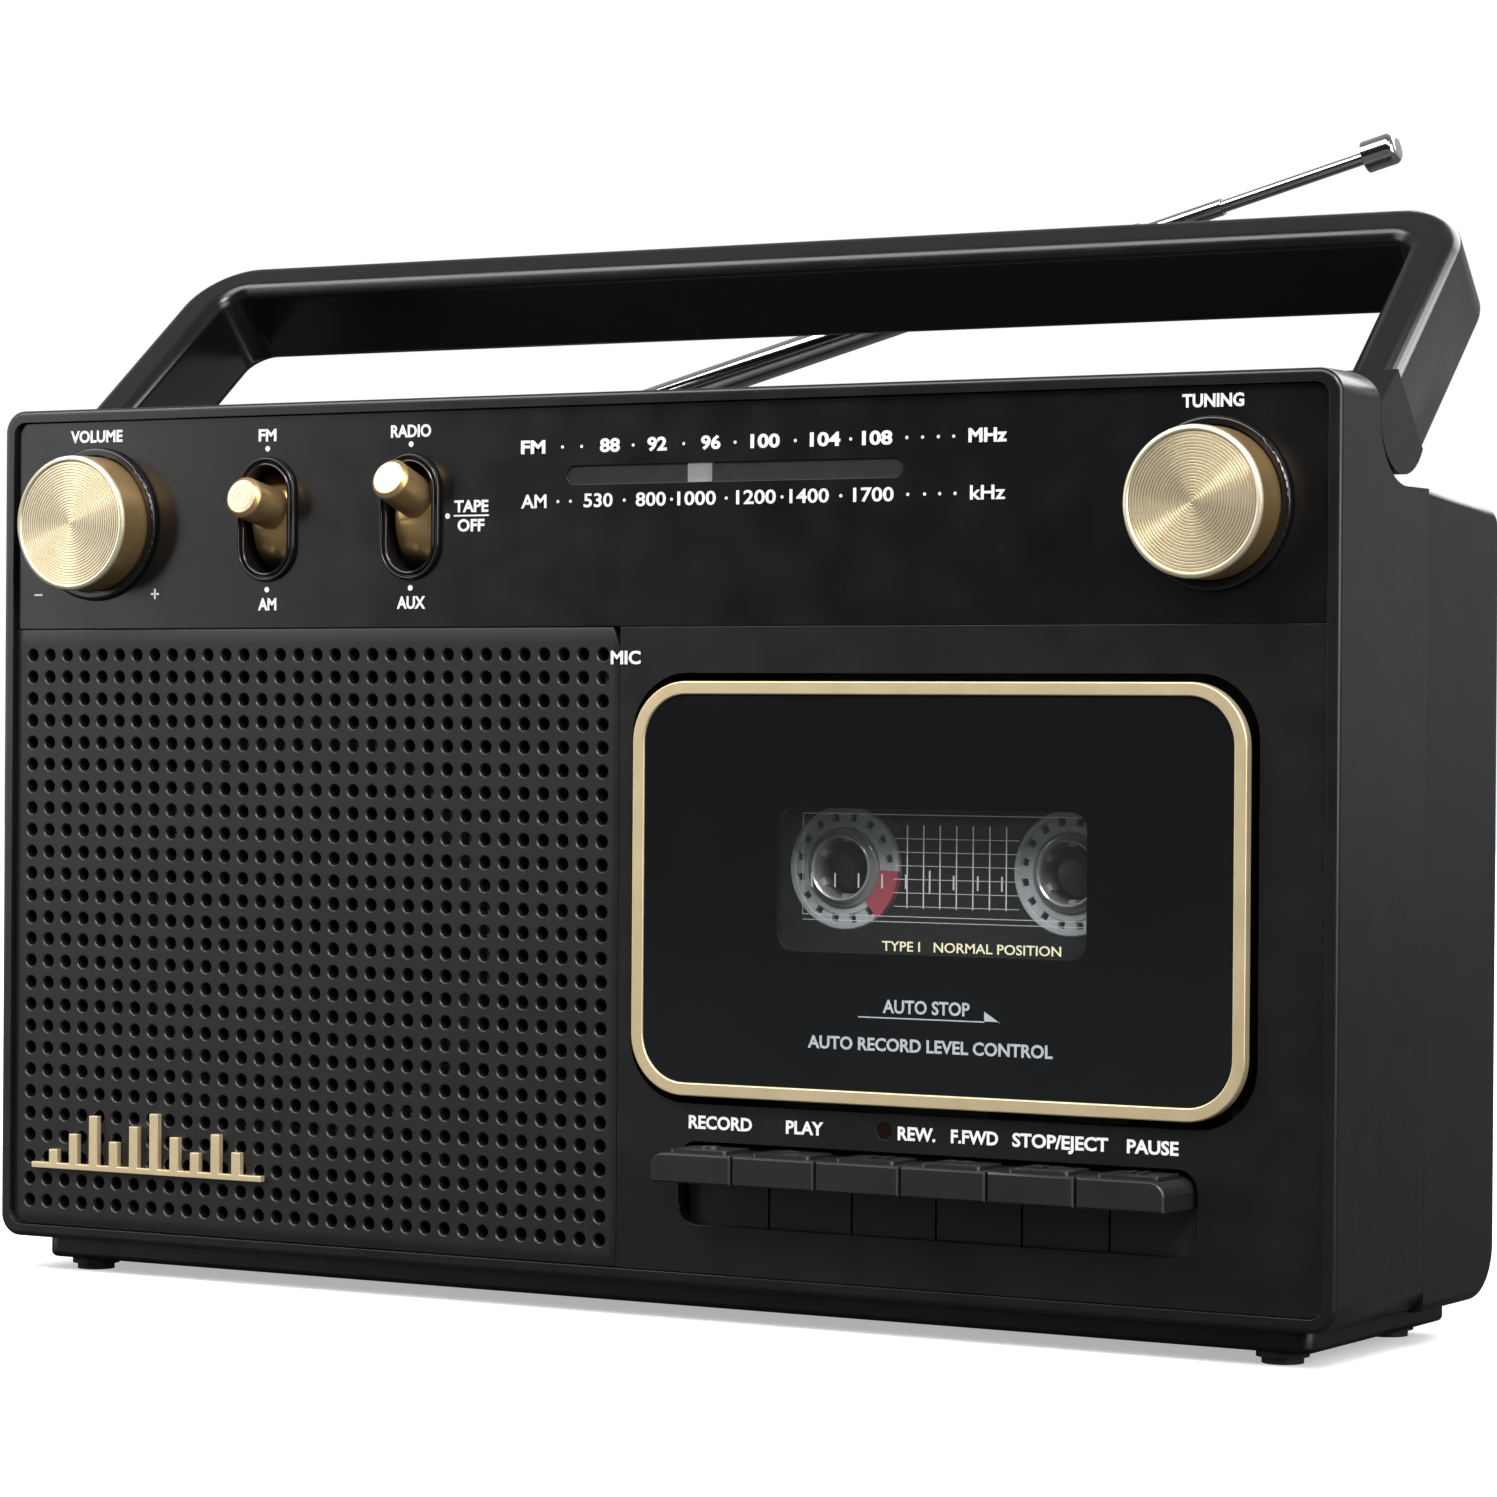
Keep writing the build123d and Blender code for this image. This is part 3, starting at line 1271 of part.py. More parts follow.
def triangle(x, toward):
    """Arrow head symbol on a key, pointing along X."""
    back = x - 1.3 * toward
    tip = x + 1.3 * toward
    Polygon((back, ICON_MID - 1.5), (tip, ICON_MID), (back, ICON_MID + 1.5), align=None)


for index, name in enumerate(KEY_NAMES):
    x = KEY_FIRST_X + KEY_PITCH * index
    with BuildPart() as key:
        with BuildSketch(facing(5.0)):
            with Locations((x, (KEY_BASE + KEY_TOP) / 2)):
                Rectangle(KEY_W, KEY_TOP - KEY_BASE)
        extrude(amount=5.0 - KEY_FRONT)
        if index in (0, 5):
            outer_edges = key.edges().filter_by(Axis.Y).group_by(Axis.Z)[-1].sort_by(Axis.X)
            fillet(outer_edges[0] if index == 0 else outer_edges[-1], 2.4)
        chamfer(key.faces().sort_by(Axis.Y)[0].edges(), 0.3)
        with BuildSketch(level(KEY_TOP)):
            with Locations((x + 0.6, -3.6)):
                RectangleRounded(10.8, 8.6, 0.8)
        extrude(amount=PAD_TOP - KEY_TOP)
        with BuildSketch(level(PAD_TOP)):
            if name == "record":
                with Locations((x + 0.6, ICON_MID)):
                    Circle(1.6)
            elif name == "play":
                triangle(x + 0.6, 1)
            elif name == "rewind":
                triangle(x - 0.8, -1)
                triangle(x + 2.0, -1)
            elif name == "fast_forward":
                triangle(x - 0.8, 1)
                triangle(x + 2.0, 1)
            elif name == "stop_eject":
                with Locations((x - 1.2, ICON_MID)):
                    Rectangle(2.6, 2.6)
                triangle(x + 2.4, 1)
            else:
                with Locations((x - 0.5, ICON_MID), (x + 1.7, ICON_MID)):
                    Rectangle(0.9, 2.8)
        extrude(amount=0.4)
        # skirt that closes the slot, and the arm back to the shaft
        with BuildSketch(facing(5.0)):
            with Locations((x, 22.6)):
                Rectangle(KEY_W, 14.2)
        extrude(amount=1.4)
        with BuildSketch(side(x - ARM_W / 2)):
            with BuildLine():
                Polyline(
                    (4.6, 18.4),
                    (4.6, 24.2),
                    (SHAFT_D, 24.2),
                    (SHAFT_D, 18.4),
                    (4.6, 18.4),
                )
            make_face()
        extrude(amount=ARM_W)
        with BuildSketch(side(x - KEY_W / 2 + 1.0)):
            with Locations(KEY_SHAFT):
                Circle(3.2)
        extrude(amount=KEY_W - 2.0)
        with BuildSketch(side(x - KEY_W / 2)):
            with Locations(KEY_SHAFT):
                Circle(1.55)
        extrude(amount=KEY_W, mode=Mode.SUBTRACT)
    save(key, f"{name}_key")

# ---------------------------------------------------------------- telescopic aerial
RISE = radians(AERIAL_RISE)
TILT = radians(AERIAL_LEAN)
AERIAL_FOOT = Vector(AERIAL_X, LIP_Y + AERIAL_D, AERIAL_Z)
LEVEL_WAY = Vector(cos(RISE), 0, sin(RISE))      # the aerial's line seen from the front
TILT_AXIS = Vector(-sin(RISE), 0, cos(RISE))     # it tilts back about this line
AERIAL_WAY = LEVEL_WAY * cos(TILT) + Vector(0, 1, 0) * sin(TILT)


def aerial_station(distance):
    """Plane square to the aerial at a distance from its foot."""
    return Plane(origin=AERIAL_FOOT + AERIAL_WAY * distance, x_dir=TILT_AXIS, z_dir=AERIAL_WAY)


def tube(start, end, outer, inner, floor=0.0):
    """Tube along the aerial's line, closed at its inner end over the floor's thickness."""
    with BuildSketch(aerial_station(start)) as solid_section:
        Circle(outer)
    extrude(solid_section.sketch, amount=end - start)
    if inner:
        with BuildSketch(aerial_station(start + floor)) as bore_section:
            Circle(inner)
        extrude(bore_section.sketch, amount=end - start - floor, mode=Mode.SUBTRACT)


TONGUE = 1.5                         # half thickness of the tongue on the aerial's foot
CHEEK = 1.7

with BuildPart() as aerial_swivel:
    with BuildSketch(facing(MOUNT_FACE + 0.6)):
        with Locations((AERIAL_X, AERIAL_Z)):
            Circle(5.0)
    extrude(amount=0.5)
    with BuildSketch(facing(MOUNT_FACE + 0.3)):
        with Locations((AERIAL_X, AERIAL_Z)):
            Circle(AERIAL_PIN_R)
    extrude(amount=7.1)
    for sign in (-1, 1):
        cheek_plane = Plane(
            origin=AERIAL_FOOT + TILT_AXIS * (sign * (TONGUE + 0.1)),
            x_dir=LEVEL_WAY,
            z_dir=TILT_AXIS * sign,
        )
        with BuildSketch(cheek_plane):
            Circle(2.6)
            with Locations((0, -1.5 * sign)):
                Rectangle(5.2, 3.0)
        extrude(amount=CHEEK)
    pin_plane = Plane(
        origin=AERIAL_FOOT - TILT_AXIS * (TONGUE + CHEEK), x_dir=LEVEL_WAY, z_dir=TILT_AXIS
    )
    with BuildSketch(pin_plane):
        Circle(0.9)
    extrude(amount=2 * (TONGUE + CHEEK))
save(aerial_swivel, "aerial_swivel")

BASE_END = 168.0
SECOND_END = 185.0
THIRD_END = 201.2
CAP_START = 229.0
CAP_END = 235.0

with BuildPart() as aerial_base_tube:
    tongue_plane = Plane(
        origin=AERIAL_FOOT - TILT_AXIS * TONGUE, x_dir=AERIAL_WAY, z_dir=TILT_AXIS
    )
    with BuildSketch(tongue_plane):
        Circle(2.4)
        with Locations((3.2, 0)):
            Rectangle(6.4, 4.0)
    extrude(amount=2 * TONGUE)
    tube(5.6, BASE_END, 2.9, 2.5, floor=1.8)
    with BuildSketch(pin_plane):
        Circle(0.95)
    extrude(amount=2 * (TONGUE + CHEEK), mode=Mode.SUBTRACT)
save(aerial_base_tube, "aerial_base_tube")

with BuildPart() as aerial_second_section:
    tube(26.0, SECOND_END, 2.2, 1.8)
save(aerial_second_section, "aerial_second_section")

with BuildPart() as aerial_third_section:
    tube(44.2, THIRD_END, 1.5, 1.2)
save(aerial_third_section, "aerial_third_section")

with BuildPart() as aerial_tip:
    tube(78.0, CAP_END - 3.0, 1.1, 0)
    tube(CAP_START, CAP_END, 2.8, 0)
    fillet(aerial_tip.edges().filter_by(GeomType.CIRCLE).sort_by(Axis.X)[-1], 1.2)
save(aerial_tip, "aerial_tip")
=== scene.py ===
"""Looks of a portable radio cassette recorder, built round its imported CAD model.

Everything is in metres in the model's own frame: +X to the right, +Y to the back, +Z up.
Depths are measured backwards from the front lip of the cabinet.
"""
import json
from math import cos, pi, radians, sin

import bmesh
import bpy
from mathutils import Matrix, Vector

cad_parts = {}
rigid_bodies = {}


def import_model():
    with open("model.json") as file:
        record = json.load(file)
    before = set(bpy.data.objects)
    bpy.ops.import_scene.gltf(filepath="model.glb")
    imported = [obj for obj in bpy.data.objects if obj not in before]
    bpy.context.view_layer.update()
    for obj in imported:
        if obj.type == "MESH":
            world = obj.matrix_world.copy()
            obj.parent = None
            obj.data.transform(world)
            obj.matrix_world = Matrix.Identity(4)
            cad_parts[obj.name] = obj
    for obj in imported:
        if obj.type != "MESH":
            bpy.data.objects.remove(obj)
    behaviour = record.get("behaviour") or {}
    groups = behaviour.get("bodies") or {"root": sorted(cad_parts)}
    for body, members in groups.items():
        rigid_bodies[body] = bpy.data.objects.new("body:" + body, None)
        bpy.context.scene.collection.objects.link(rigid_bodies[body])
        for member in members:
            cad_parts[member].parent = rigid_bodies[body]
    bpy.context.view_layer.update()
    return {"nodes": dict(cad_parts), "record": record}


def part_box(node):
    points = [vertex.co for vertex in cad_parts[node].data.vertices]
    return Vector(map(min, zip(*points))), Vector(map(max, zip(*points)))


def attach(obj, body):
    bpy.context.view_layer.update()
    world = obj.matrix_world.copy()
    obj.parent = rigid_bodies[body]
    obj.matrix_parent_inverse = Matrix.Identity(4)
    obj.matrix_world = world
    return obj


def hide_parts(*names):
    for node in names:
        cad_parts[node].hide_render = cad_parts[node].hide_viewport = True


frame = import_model()

MM = 0.001
NODES = frame["nodes"]
BODY_OF = {node: body for body, nodes in frame["record"]["behaviour"]["bodies"].items() for node in nodes}

# ---------------------------------------------------------------- places read from the frame
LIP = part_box("front_cabinet")[0].y


def middle(node):
    """Centre of a CAD node's box, in metres."""
    low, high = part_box(node)
    return (low + high) / 2


def spot(x, depth, z):
    """Point at x and z millimetres, a depth in millimetres behind the front lip."""
    return Vector((x * MM, LIP + depth * MM, z * MM))


PANEL_DEPTH = (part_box("speaker_grille")[0].y - LIP) / MM
DOOR_DEPTH = (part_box("cassette_holder")[0].y - LIP) / MM
VOLUME = middle("volume_knob") / MM
TUNING = middle("tuning_knob") / MM
BAND = middle("band_lever") / MM
FUNCTION = middle("function_lever") / MM
LEVER_PIVOT = 11.5                # depth of the levers' hinge line
LEVER_HEIGHT = 137.1              # height of that line
LEVER_REACH = 18.65               # hinge line to the end of a lever
LEVER_ANGLES = {"band_lever": radians(11.7), "function_lever": radians(20.5)}
KEY_NODES = [key + "_key" for key in ("record", "play", "rewind", "fast_forward", "stop_eject", "pause")]


# ---------------------------------------------------------------- materials
class Finish:
    """A Principled material, with short names for the nodes that give its detail."""

    def __init__(self, name, **sockets):
        self.material = bpy.data.materials.new(name)
        self.material.use_nodes = True
        self.tree = self.material.node_tree
        self.shader = self.tree.nodes["Principled BSDF"]
        for socket, value in sockets.items():
            self.shader.inputs[socket.replace("_", " ")].default_value = value
        self.coordinates = self.add("ShaderNodeTexCoord").outputs["Object"]

    def add(self, kind, **settings):
        node = self.tree.nodes.new(kind)
        for key, value in settings.items():
            setattr(node, key, value)
        return node

    def join(self, output, socket):
        self.tree.links.new(output, socket)

    def stretched(self, stretch):
        mapping = self.add("ShaderNodeMapping")
        mapping.inputs["Scale"].default_value = stretch
        self.join(self.coordinates, mapping.inputs["Vector"])
        return mapping.outputs["Vector"]

    def noise(self, size_mm, detail=2.0, stretch=None):
        """Fractal noise whose features are about size_mm across."""
        node = self.add("ShaderNodeTexNoise")
        node.inputs["Scale"].default_value = 1 / (size_mm * MM)
        node.inputs["Detail"].default_value = detail
        self.join(self.stretched(stretch) if stretch else self.coordinates, node.inputs["Vector"])
        return node.outputs["Fac"]

    def between(self, value, low, high, start=0.3, end=0.7):
        """Maps start..end of a value to low..high. A noise lies mostly between 0.3 and 0.7."""
        node = self.add("ShaderNodeMapRange")
        node.inputs["From Min"].default_value = start
        node.inputs["From Max"].default_value = end
        node.inputs["To Min"].default_value = low
        node.inputs["To Max"].default_value = high
        self.join(value, node.inputs["Value"])
        return node.outputs["Result"]

    def tint(self, value, dark, light):
        """Colour that runs from dark to light with a noise."""
        node = self.add("ShaderNodeMix", data_type="RGBA")
        node.inputs["A"].default_value = (*dark, 1)
        node.inputs["B"].default_value = (*light, 1)
        self.join(value, node.inputs["Factor"])
        self.join(node.outputs["Result"], self.shader.inputs["Base Color"])

    def roughness(self, value, low, high):
        self.join(self.between(value, low, high), self.shader.inputs["Roughness"])

    def bump(self, height, height_mm):
        node = self.add("ShaderNodeBump")
        node.inputs["Strength"].default_value = 1.0
        node.inputs["Distance"].default_value = height_mm * MM
        if self.shader.inputs["Normal"].is_linked:
            self.join(self.shader.inputs["Normal"].links[0].from_socket, node.inputs["Normal"])
        self.join(height, node.inputs["Height"])
        self.join(node.outputs["Normal"], self.shader.inputs["Normal"])


def moulded(name, dark, light, rough, grain_mm=0.35, grain_height=0.006, **sockets):
    """Moulded plastic: fine spark-eroded grain, a slow change of tone and an uneven gloss."""
    finish = Finish(name, **sockets)
    slow = finish.noise(38.0, 3.0)
    fine = finish.noise(grain_mm, 2.0)
    finish.tint(finish.between(slow, 0, 1), dark, light)
    finish.roughness(finish.noise(9.0, 4.0), rough - 0.03, rough + 0.04)
    finish.bump(fine, grain_height)
    return finish.material


def metal(name, dark, light, rough, brush=None, brush_mm=0.12, brush_height=0.002, metallic=1.0):
    """Metal with brushed or spun lines along the direction that brush stretches."""
    finish = Finish(name, Metallic=metallic)
    lines = finish.noise(brush_mm, 2.0, stretch=brush)
    finish.tint(finish.between(finish.noise(6.0, 3.0), 0, 1), dark, light)
    finish.roughness(lines, rough - 0.04, rough + 0.05)
    finish.bump(lines, brush_height)
    return finish.material


def spun_face():
    """Turned face of a knob: rings that spread light along the radius, so that it fans."""
    finish = Finish("spun_gold_face", Metallic=1.0, Anisotropic=0.96)
    finish.shader.inputs["Anisotropic Rotation"].default_value = 0.25
    rings = finish.add("ShaderNodeTangent", direction_type="RADIAL", axis="Y")
    finish.join(rings.outputs["Tangent"], finish.shader.inputs["Tangent"])
    finish.tint(finish.between(finish.noise(1.5, 3.0), 0, 1), (0.88, 0.76, 0.53), (0.93, 0.81, 0.59))
    finish.roughness(finish.noise(0.6, 3.0), 0.33, 0.38)
    return finish.material


def clear_sheet(name, colour, alpha, rough):
    """Thin clear plastic seen through, with faint scuffs in its gloss."""
    finish = Finish(name, Roughness=rough, IOR=1.49, Alpha=alpha)
    scuffed = tuple(c * 1.25 + 0.004 for c in colour)
    finish.tint(finish.between(finish.noise(2.5, 4.0), 0, 1), colour, scuffed)
    finish.roughness(finish.noise(0.9, 5.0), rough, rough + 0.08)
    return finish.material


def ink(name, dark, light, glow=0.0):
    """Screen-printed ink, slightly uneven and matt. A glow, where given, makes the ink light itself:
    painted light.
    """
    finish = Finish(name)
    if glow:
        finish.shader.inputs["Emission Color"].default_value = (*light, 1)
        finish.shader.inputs["Emission Strength"].default_value = glow
    finish.tint(finish.between(finish.noise(0.8, 3.0), 0, 1), dark, light)
    finish.roughness(finish.noise(0.3, 2.0), 0.42, 0.55)
    finish.bump(finish.noise(0.08, 2.0), 0.001)
    return finish.material


def pressed_paper():
    """Pressed paper of a loudspeaker cone."""
    finish = Finish("pressed_paper")
    pulp = finish.between(finish.noise(0.7, 4.0), 0, 1)
    finish.tint(pulp, (0.012, 0.012, 0.012), (0.03, 0.029, 0.027))
    finish.roughness(finish.noise(0.4, 3.0), 0.78, 0.92)
    finish.bump(finish.noise(0.5, 4.0), 0.05)
    return finish.material


def printed_board():
    """Green circuit board with faint copper tracks under the lacquer."""
    finish = Finish("printed_board", IOR=1.5)
    run = (1, 1, 4)
    tracks = finish.between(finish.noise(3.0, 2.0, stretch=run), 0, 1)
    finish.tint(tracks, (0.006, 0.05, 0.02), (0.02, 0.12, 0.045))
    finish.roughness(finish.noise(1.0, 2.0), 0.28, 0.4)
    finish.bump(finish.noise(2.0, 1.0, stretch=run), 0.03)
    return finish.material


MATERIALS = {
    "black_satin": moulded("black_satin", (0.0036, 0.0036, 0.0038), (0.0050, 0.0050, 0.0052), 0.34),
    "black_gloss": moulded(
        "black_gloss", (0.0026, 0.0027, 0.0034), (0.0036, 0.0038, 0.0046), 0.24,
        grain_mm=0.5, grain_height=0.002,
    ),
    "door_gloss": moulded(
        "door_gloss", (0.0058, 0.0062, 0.0068), (0.0070, 0.0074, 0.0082), 0.12,
        grain_mm=1.2, grain_height=0.001,
    ),
    "grille_black": moulded("grille_black", (0.0046, 0.0046, 0.0048), (0.0062, 0.0062, 0.0064), 0.43),
    "shell_satin": moulded("shell_satin", (0.0050, 0.0050, 0.0052), (0.0068, 0.0068, 0.0070), 0.28),
    "handle_satin": moulded("handle_satin", (0.0034, 0.0034, 0.0036), (0.0046, 0.0046, 0.0048), 0.24),
    "bright_gold": metal(
        "bright_gold", (0.80, 0.66, 0.40), (0.86, 0.72, 0.46), 0.36,
        brush_mm=0.1, brush_height=0.001, metallic=0.8,
    ),
    "knob_chamfer": metal(
        "knob_chamfer", (0.90, 0.80, 0.58), (0.96, 0.86, 0.64), 0.34,
        brush_mm=0.1, brush_height=0.001, metallic=0.75,
    ),
    # darker gold for the walls of the knobs' face grooves: painted shade in the grooves
    "groove_shade_gold": metal(
        "groove_shade_gold", (0.36, 0.27, 0.13), (0.42, 0.32, 0.17), 0.40,
        brush_mm=0.1, brush_height=0.001,
    ),
    "rim_gloss": moulded(
        "rim_gloss", (0.0040, 0.0040, 0.0044), (0.0056, 0.0056, 0.0060), 0.18,
        grain_mm=0.6, grain_height=0.001,
    ),
    "black_panel": moulded(
        "black_panel", (0.0030, 0.0030, 0.0035), (0.0044, 0.0044, 0.0050), 0.34,
        grain_mm=0.30, grain_height=0.007,
    ),
    "key_plastic": moulded(
        "key_plastic", (0.0110, 0.0110, 0.0118), (0.0150, 0.0150, 0.0158), 0.32,
        grain_mm=0.25, grain_height=0.006,
    ),
    "champagne": metal(
        "champagne", (0.60, 0.39, 0.165), (0.68, 0.46, 0.21), 0.34,
        brush=(1, 6, 1), brush_mm=0.2, brush_height=0.0015, metallic=0.85,
    ),
    "spun_face": spun_face(),
    "gold_trim": metal(
        "gold_trim", (0.74, 0.60, 0.36), (0.82, 0.67, 0.42), 0.40,
        brush_mm=0.10, brush_height=0.003, metallic=0.7,
    ),
    "chrome": metal(
        "chrome", (0.62, 0.62, 0.63), (0.74, 0.74, 0.75), 0.10,
        brush_mm=0.25, brush_height=0.0006,
    ),
    "smoked": clear_sheet("smoked", (0.085, 0.088, 0.094), 0.26, 0.14),
    "clear_plastic": clear_sheet("clear_plastic", (0.16, 0.17, 0.175), 0.06, 0.08),
    "door_window": clear_sheet("door_window", (0.035, 0.037, 0.039), 0.17, 0.06),
    "hub_plastic": moulded(
        "hub_plastic", (0.66, 0.72, 0.73), (0.76, 0.82, 0.83), 0.30,
        grain_mm=0.6, grain_height=0.003,
    ),
    # the pointer's white glows a little: painted light that brightens it in the shade behind the dial lens
    "glowing_pointer_white": ink("glowing_pointer_white", (0.80, 0.81, 0.81), (0.88, 0.89, 0.89), glow=0.40),
    "rubber": moulded(
        "rubber", (0.008, 0.008, 0.008), (0.014, 0.014, 0.014), 0.70,
        grain_mm=0.25, grain_height=0.02,
    ),
    "zinc_steel": metal(
        "zinc_steel", (0.38, 0.38, 0.37), (0.50, 0.50, 0.48), 0.34,
        brush=(1, 1, 8), brush_mm=0.3, brush_height=0.004,
    ),
    "dark_steel": metal(
        "dark_steel", (0.055, 0.055, 0.058), (0.085, 0.085, 0.088), 0.36,
        brush_mm=0.25, brush_height=0.004,
    ),
    "blackened": moulded(
        "blackened", (0.006, 0.006, 0.006), (0.010, 0.010, 0.010), 0.55,
        grain_mm=0.4, grain_height=0.01,
    ),
    "board": printed_board(),
    "ferrite": moulded(
        "ferrite", (0.020, 0.019, 0.018), (0.034, 0.032, 0.030), 0.62,
        grain_mm=0.2, grain_height=0.02,
    ),
    "paper": pressed_paper(),
    "red_lens": moulded(
        "red_lens", (0.0035, 0.0006, 0.0006), (0.006, 0.0008, 0.0008), 0.08,
        grain_mm=0.8, grain_height=0.001,
    ),
    "white_mark": ink("white_mark", (0.62, 0.63, 0.64), (0.74, 0.75, 0.76)),
    "inner_black": moulded(
        "inner_black", (0.010, 0.010, 0.010), (0.015, 0.015, 0.015), 0.45,
        grain_mm=0.3, grain_height=0.008,
    ),
    "legend_white": ink("legend_white", (0.72, 0.73, 0.74), (0.84, 0.85, 0.86)),
    "legend_blue": ink("legend_blue", (0.34, 0.38, 0.40), (0.42, 0.46, 0.48)),
    "legend_yellow": ink("legend_yellow", (0.62, 0.60, 0.38), (0.72, 0.70, 0.46)),
    # the grid's ink glows a little: painted light that brightens the print behind the door window
    "legend_grid": ink("legend_grid", (0.66, 0.67, 0.67), (0.78, 0.79, 0.79), glow=0.12),
    "red_clamp": moulded(
        "red_clamp", (0.62, 0.10, 0.13), (0.72, 0.14, 0.17), 0.28,
        grain_mm=0.5, grain_height=0.002,
    ),
    "hub_boss": metal(
        "hub_boss", (0.62, 0.64, 0.65), (0.74, 0.76, 0.77), 0.20,
        brush_mm=0.3, brush_height=0.001, metallic=0.6,
    ),
}

# Nodes whose finish differs from the one that their material slot names
FINISH_OF = {
    "cassette_holder": "door_gloss",
    "door_lens": "door_window",
    "deck_chassis": "blackened",
    "head_carriage": "blackened",
    "front_cabinet": "shell_satin",
    "handle": "handle_satin",
    "knob_wells": "rim_gloss",
    "lever_bezels": "rim_gloss",
    # the pointer's finish glows: painted light
    "dial_pointer": "glowing_pointer_white",
    **dict.fromkeys(KEY_NODES, "key_plastic"),
}


def dress_nodes():
    """Gives every CAD node its material."""
    for node, piece in NODES.items():
        for slot in piece.material_slots:
            slot.material = MATERIALS[FINISH_OF.get(node, slot.material.name)]


# Width in millimetres of the small round that a moulded or cut edge really has
EDGE_ROUNDS = {
    "front_cabinet": 0.35,
    "rear_cabinet": 0.35,
    "base_plinth": 0.2,
    "control_panel": 0.3,
    "deck_fascia": 0.35,
    "door_trim": 0.28,
    "cassette_holder": 0.15,
    "door_lens": 0.12,
    "badge_ornament": 0.15,
    "battery_lid": 0.25,
    "handle": 0.25,
    "aerial_swivel": 0.15,
    "band_lever": 0.2,
    "function_lever": 0.2,
    "cassette_shell": 0.2,
    **dict.fromkeys(KEY_NODES, 0.22),
}


def round_edges():
    """Rounds the sharp edges of the CAD shells with modifiers, so that they catch the light."""
    for node, width in EDGE_ROUNDS.items():
        piece = NODES[node]
        weld = piece.modifiers.new("weld", "WELD")
        weld.merge_threshold = 0.002 * MM
        flat = piece.modifiers.new("flat", "DECIMATE")
        flat.decimate_type = "DISSOLVE"
        flat.angle_limit = radians(0.3)
        bevel = piece.modifiers.new("round", "BEVEL")
        bevel.width = width * MM
        bevel.segments = 2
        bevel.limit_method = "ANGLE"
        bevel.angle_limit = radians(35)
        bevel.harden_normals = True


# ---------------------------------------------------------------- mesh helpers
def new_piece(name, bm, finishes, body, smooth_angle=30):
    """Turns a bmesh into a piece that rides a body, smooth except at edges sharper than the angle."""
    bmesh.ops.recalc_face_normals(bm, faces=bm.faces)
    mesh = bpy.data.meshes.new(name)
    for face in bm.faces:
        face.smooth = True
    for edge in bm.edges:
        if len(edge.link_faces) == 2 and edge.calc_face_angle(0) > radians(smooth_angle):
            edge.smooth = False
    bm.to_mesh(mesh)
    bm.free()
    piece = bpy.data.objects.new(name, mesh)
    bpy.context.scene.collection.objects.link(piece)
    for finish in [finishes] if isinstance(finishes, str) else finishes:
        mesh.materials.append(MATERIALS[finish])
    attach(piece, body)
    return piece


def join_rings(bm, rings, bands=None):
    """Adds faces between each ring of points and the next, where a ring may be a single point.
    bands gives each pair of rings a material number."""
    segments = max(len(ring) for ring in rings)
    for index, (first, second) in enumerate(zip(rings, rings[1:])):
        for i in range(segments):
            j = (i + 1) % segments
            corners = []
            for ring, k in ((first, i), (first, j), (second, j), (second, i)):
                vert = ring[k % len(ring)]
                if vert not in corners:
                    corners.append(vert)
            face = bm.faces.new(corners)
            face.material_index = bands[index] if bands else 0


def ring_of(bm, place, radius, segments):
    """Points round a circle, or one point where the radius is zero. place turns steps along and up
    from the circle's centre, in millimetres, into a point in metres."""
    if radius == 0:
        return [bm.verts.new(place(0, 0))]
    turn = [2 * pi * i / segments for i in range(segments)]
    return [bm.verts.new(place(radius * cos(a), radius * sin(a))) for a in turn]


def turned(bm, profile, centre, segments=96, bands=None):
    """Adds a solid turned round an axis along Y, from a profile of (depth, radius) in millimetres."""
    rings = []
    for depth, radius in profile:
        rings.append(ring_of(bm, lambda x, z: spot(centre.x + x, depth, centre.z + z), radius, segments))
    join_rings(bm, rings, bands)


def slab(bm, x0, x1, z0, z1, front, back):
    """Adds a plate from front to back depth."""
    prism(bm, [(x0, z0), (x1, z0), (x1, z1), (x0, z1)], front, back)


def prism(bm, outline, front, back):
    """Adds a straight prism on an outline of (x, z) points."""
    near = [bm.verts.new(spot(x, front, z)) for x, z in outline]
    far = [bm.verts.new(spot(x, back, z)) for x, z in outline]
    bm.faces.new(near)
    bm.faces.new(list(reversed(far)))
    for i in range(len(outline)):
        j = (i + 1) % len(outline)
        bm.faces.new((near[i], far[i], far[j], near[j]))


# ---------------------------------------------------------------- knobs
RING_PITCH = 0.50                 # turned rings on a knob's face
RING_DEPTH = 0.05
FACE_RECESS = 0.25                # the face's depth behind the rim of the chamfer
CHAMFER_WIDTH = 1.05
KNOB_SEGMENTS = 144
# The fourth finish, a darker gold, goes on the groove walls of the face: painted shade in the grooves.
KNOB_FINISHES = ("spun_face", "knob_chamfer", "champagne", "groove_shade_gold")
FACE, CHAMFER, SIDE, GROOVE_SHADE = range(4)


